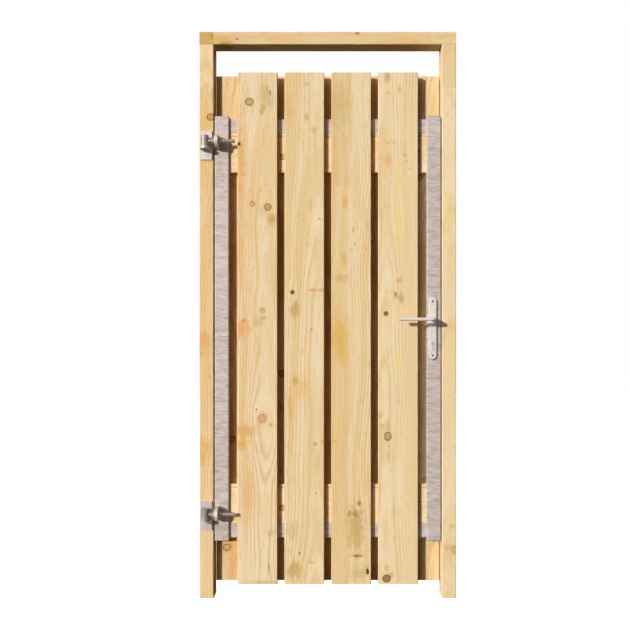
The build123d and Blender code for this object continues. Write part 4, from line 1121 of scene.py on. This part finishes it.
def screw_tree(head: Head) -> bpy.types.NodeTree:
    """Builds the tree that puts a screw with a cross recess on every point.

    Args:
        head: the form of the head.

    Returns:
        The tree, built once for each form.
    """
    name = f"{head.value}_screws"
    if name in bpy.data.node_groups:
        return bpy.data.node_groups[name]
    tree = bpy.data.node_groups.new(name, "GeometryNodeTree")
    inputs = {
        "Geometry": "NodeSocketGeometry", "Head Radius": "NodeSocketFloat", "Head Height": "NodeSocketFloat",
        "Shank Radius": "NodeSocketFloat", "Length": "NodeSocketFloat", "Recess": "NodeSocketFloat",
        "Sides": "NodeSocketInt", "Turn": "NodeSocketRotation", "Material": "NodeSocketMaterial",
    }
    for label, kind in inputs.items():
        tree.interface.new_socket(name=label, in_out="INPUT", socket_type=kind)
    tree.interface.new_socket(name="Geometry", in_out="OUTPUT", socket_type="NodeSocketGeometry")
    graph = Graph(tree)
    entry = graph.add("NodeGroupInput").outputs
    leave = graph.add("NodeGroupOutput")
    cutter = graph.add("GeometryNodeMeshBoolean", operation="DIFFERENCE", solver="EXACT")
    graph.feed(cutter, "Mesh 1", add_screw_head(graph, entry, head))
    for bar in add_cross(graph, entry):
        graph.feed(cutter, "Mesh 2", bar)
    screw = graph.add("GeometryNodeJoinGeometry")
    graph.feed(screw, 0, cutter.outputs[0])
    graph.feed(screw, 0, add_screw_shank(graph, entry))
    copies = graph.add("GeometryNodeInstanceOnPoints")
    graph.feed(copies, "Points", entry["Geometry"])
    graph.feed(copies, "Instance", screw.outputs[0])
    graph.feed(copies, "Rotation", entry["Turn"])
    real = graph.add("GeometryNodeRealizeInstances")
    graph.feed(real, 0, copies.outputs[0])
    coat = graph.add("GeometryNodeSetMaterial")
    graph.feed(coat, "Geometry", real.outputs[0])
    graph.feed(coat, "Material", entry["Material"])
    graph.feed(leave, 0, coat.outputs[0])
    return tree


def add_cone(graph: Graph, sides: Input, top: Input, bottom: Input, depth: Input, base: Input) -> Input:
    """Adds a cone or a cylinder that begins at a height.

    Args:
        graph: the tree's graph.
        sides: the number of sides.
        top: the radius at the far end.
        bottom: the radius at the near end.
        depth: the length.
        base: the height of the near end.

    Returns:
        The moved mesh.
    """
    cone = graph.add("GeometryNodeMeshCone")
    sizes = {"Vertices": sides, "Radius Top": top, "Radius Bottom": bottom, "Depth": depth}
    for label, value in sizes.items():
        graph.feed(cone, label, value)
    move = graph.add("GeometryNodeTransform")
    graph.feed(move, "Geometry", cone.outputs[0])
    graph.feed(move, "Translation", graph.join(0.0, 0.0, base))
    return move.outputs[0]


def add_screw_head(graph: Graph, entry: bpy.types.NodeOutputs, head: Head) -> Input:
    """Adds a screw's head without its recess, its top at the origin and its underside along Z.

    Args:
        graph: the tree's graph.
        entry: the tree's inputs.
        head: the form of the head.

    Returns:
        The head's mesh.
    """
    sides, rim, height, shank = (entry[k] for k in ("Sides", "Head Radius", "Head Height", "Shank Radius"))
    if head is Head.FLAT:
        return add_cone(graph, sides, shank, rim, height, 0.0)
    return add_cone(graph, sides, rim, graph.math("MULTIPLY", rim, DOME_SHARE), height, 0.0)


def add_screw_shank(graph: Graph, entry: bpy.types.NodeOutputs) -> Input:
    """Adds a screw's shank and its tip, under the head.

    Args:
        graph: the tree's graph.
        entry: the tree's inputs.

    Returns:
        The shank's mesh.
    """
    sides, height, shank = (entry[k] for k in ("Sides", "Head Height", "Shank Radius"))
    tip = graph.math("MULTIPLY", shank, TIP_SHARE)
    body = graph.math("SUBTRACT", graph.math("SUBTRACT", entry["Length"], tip), height)
    joined = graph.add("GeometryNodeJoinGeometry")
    graph.feed(joined, 0, add_cone(graph, sides, shank, shank, body, height))
    graph.feed(joined, 0, add_cone(graph, sides, POINT_RADIUS, shank, tip, graph.math("ADD", height, body)))
    return joined.outputs[0]


def add_cross(graph: Graph, entry: bpy.types.NodeOutputs) -> list[Input]:
    """Adds the two crossed bars that the recess is cut with, which stay apart, because they overlap.

    Args:
        graph: the tree's graph.
        entry: the tree's inputs.

    Returns:
        The two bars' meshes.
    """
    height = entry["Head Height"]
    width = graph.math("MULTIPLY", entry["Recess"], BAR_WIDTH_SHARE)
    long = graph.math("MULTIPLY", entry["Recess"], BAR_LENGTH_SHARE)
    bars = []
    for size in (graph.join(long, width, height), graph.join(width, long, height)):
        bar = graph.add("GeometryNodeMeshCube")
        graph.feed(bar, "Size", size)
        bars.append(bar.outputs[0])
    return bars


FRONTWARDS = Vector((0, -1, 0))
BACKWARDS = Vector((0, 1, 0))
SCREWS = (
    ScrewSet("front_board_screws", "leaf", Head.FLAT, FRONTWARDS, 0.0048, 0.0030, 0.0025),
    ScrewSet("back_board_screws", "leaf", Head.FLAT, FRONTWARDS, 0.0048, 0.0030, 0.0025),
    ScrewSet("steel_frame_screws", "leaf", Head.PAN, FRONTWARDS, 0.0048, 0.0028, 0.0024),
    ScrewSet("forend_screws", "leaf", Head.FLAT, Vector((-1, 0, 0)), 0.0046, 0.0019, 0.0025),
    ScrewSet("pintle_plate_screws", "door_frame", Head.FLAT, BACKWARDS, 0.0046, 0.0028, 0.0025),
    ScrewSet("strike_screws", "door_frame", Head.FLAT, Vector((1, 0, 0)), 0.0038, 0.0019, 0.0020),
    ScrewSet("lintel_screws", "door_frame", Head.FLAT, Vector((0, 0, -1)), 0.0060, 0.0040, 0.0030),
)


# ---------------------------------------------------------------------------------------
# Stage
# ---------------------------------------------------------------------------------------
@dataclass
class Studio:
    """The floor, the light and the camera."""

    camera_distance: float = 2.518
    eye_height: float = 0.979
    lens: float = 40.78
    shift: tuple[float, float] = (-0.0203, 0.0095)
    key_travel: Colour = (0.86, 1.0, -0.37)
    key_power: float = 3.3
    key_angle: float = 1.6
    key_white: Colour = (1.0, 0.985, 0.96)
    sky_travel: Colour = (1.1, 1.0, -0.9)
    sky_power: float = 1.15
    sky_angle: float = 60.0
    sky_white: Colour = (1.0, 0.93, 0.86)
    back_travel: Colour = (0.35, -1.0, -0.5)
    back_power: float = 1.7
    back_angle: float = 20.0
    side_travel: Colour = (-1.0, -0.15, -0.3)
    side_power: float = 0.45
    side_angle: float = 30.0
    soft_white: Colour = (1.0, 0.97, 0.93)
    fill: float = 0.02
    shine: float = 0.6
    floor_size: float = 14.0
    floor_glow: float = 0.88

    def camera(self) -> None:
        """Stands a level camera in front of the gate."""
        data = bpy.data.cameras.new("camera")
        data.lens = self.lens
        data.shift_x, data.shift_y = self.shift
        camera = bpy.data.objects.new("camera", data)
        camera.location = (0.0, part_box("left_jamb")[0].y - self.camera_distance, self.eye_height)
        camera.rotation_euler = (math.radians(90), 0.0, 0.0)
        bpy.context.collection.objects.link(camera)
        bpy.context.scene.camera = camera

    def sun(self, name: str, travel: Colour, power: float, angle: float, colour: Colour) -> None:
        """Adds a far light.

        Args:
            name: the light's name.
            travel: the way that its light goes.
            power: its strength.
            angle: how wide it looks, in degrees.
            colour: its colour.
        """
        data = bpy.data.lights.new(name, "SUN")
        data.energy = power
        data.angle = math.radians(angle)
        data.color = colour
        light = bpy.data.objects.new(name, data)
        light.rotation_euler = Vector(travel).to_track_quat("-Z", "Y").to_euler()
        bpy.context.collection.objects.link(light)

    def lights(self) -> None:
        """Adds the key, the sky, soft lights from behind and the side, and a little even fill."""
        self.sun("key", self.key_travel, self.key_power, self.key_angle, self.key_white)
        self.sun("sky", self.sky_travel, self.sky_power, self.sky_angle, self.sky_white)
        self.sun("behind", self.back_travel, self.back_power, self.back_angle, self.soft_white)
        self.sun("side", self.side_travel, self.side_power, self.side_angle, self.soft_white)
        world = bpy.data.worlds.new("studio")
        bpy.context.scene.world = world
        world.use_nodes = True
        graph = Graph(world.node_tree)
        shader = world.node_tree.nodes["Background"]
        path = graph.add("ShaderNodeLightPath").outputs
        extra = graph.math("MULTIPLY", path["Is Glossy Ray"], self.shine - self.fill)
        glossy = graph.math("ADD", extra, self.fill)
        seen = graph.math("MULTIPLY", path["Is Camera Ray"], 1.0 - self.fill)
        graph.feed(shader, "Color", graph.mix(path["Is Camera Ray"], (0.93, 0.94, 1.0), (1.0, 1.0, 1.0)))
        graph.feed(shader, "Strength", graph.math("ADD", seen, glossy))

    def floor(self) -> None:
        """Lays a pale floor that takes shadows."""
        half = self.floor_size / 2
        corners = [(-half, -half, 0.0), (half, -half, 0.0), (half, half, 0.0), (-half, half, 0.0)]
        mesh = bpy.data.meshes.new("floor")
        mesh.from_pydata(corners, [], [(0, 1, 2, 3)])
        floor = bpy.data.objects.new("floor", mesh)
        bpy.context.collection.objects.link(floor)
        material, graph, shader = new_material("pale_floor")
        where = graph.add("ShaderNodeTexCoord").outputs["Object"]
        mottle = graph.noise(where, (3.0, 3.0, 3.0), 3.0)
        graph.feed(shader, "Base Color", graph.mix(mottle, (0.88, 0.88, 0.87), (0.93, 0.93, 0.92)))
        graph.feed(shader, "Roughness", 0.9)
        graph.feed(shader, "Emission Color", (1.0, 1.0, 1.0))
        graph.feed(shader, "Emission Strength", self.floor_glow)
        floor.data.materials.append(material)
        floor.visible_diffuse = False
        floor.visible_glossy = False
        floor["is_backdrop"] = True

    def build(self) -> None:
        """Sets up the whole stage."""
        bpy.context.scene.view_settings.view_transform = "Standard"
        self.camera()
        self.lights()
        self.floor()


def corners() -> list[list[float]]:
    """Returns the lowest and highest corner of what is shown."""
    return [list(corner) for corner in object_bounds()]


def main() -> None:
    """Dresses the gate, makes its screws and sets the stage."""
    logging.basicConfig(level=logging.INFO, format="%(message)s")
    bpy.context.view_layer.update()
    for assembly in (DoorFrame(), Leaf(), Hinges(), LockSet()):
        log.info("dressing %s", type(assembly).__name__)
        assembly.dress()
    zinc = MetalFinish("screw_zinc", (0.60, 0.57, 0.52), (0.48, 0.43, 0.37), 0.3, 0.4, 0.4).material()
    for screws in SCREWS:
        screws.build(zinc)
    Studio().build()


if __name__ == "__main__":
    main()
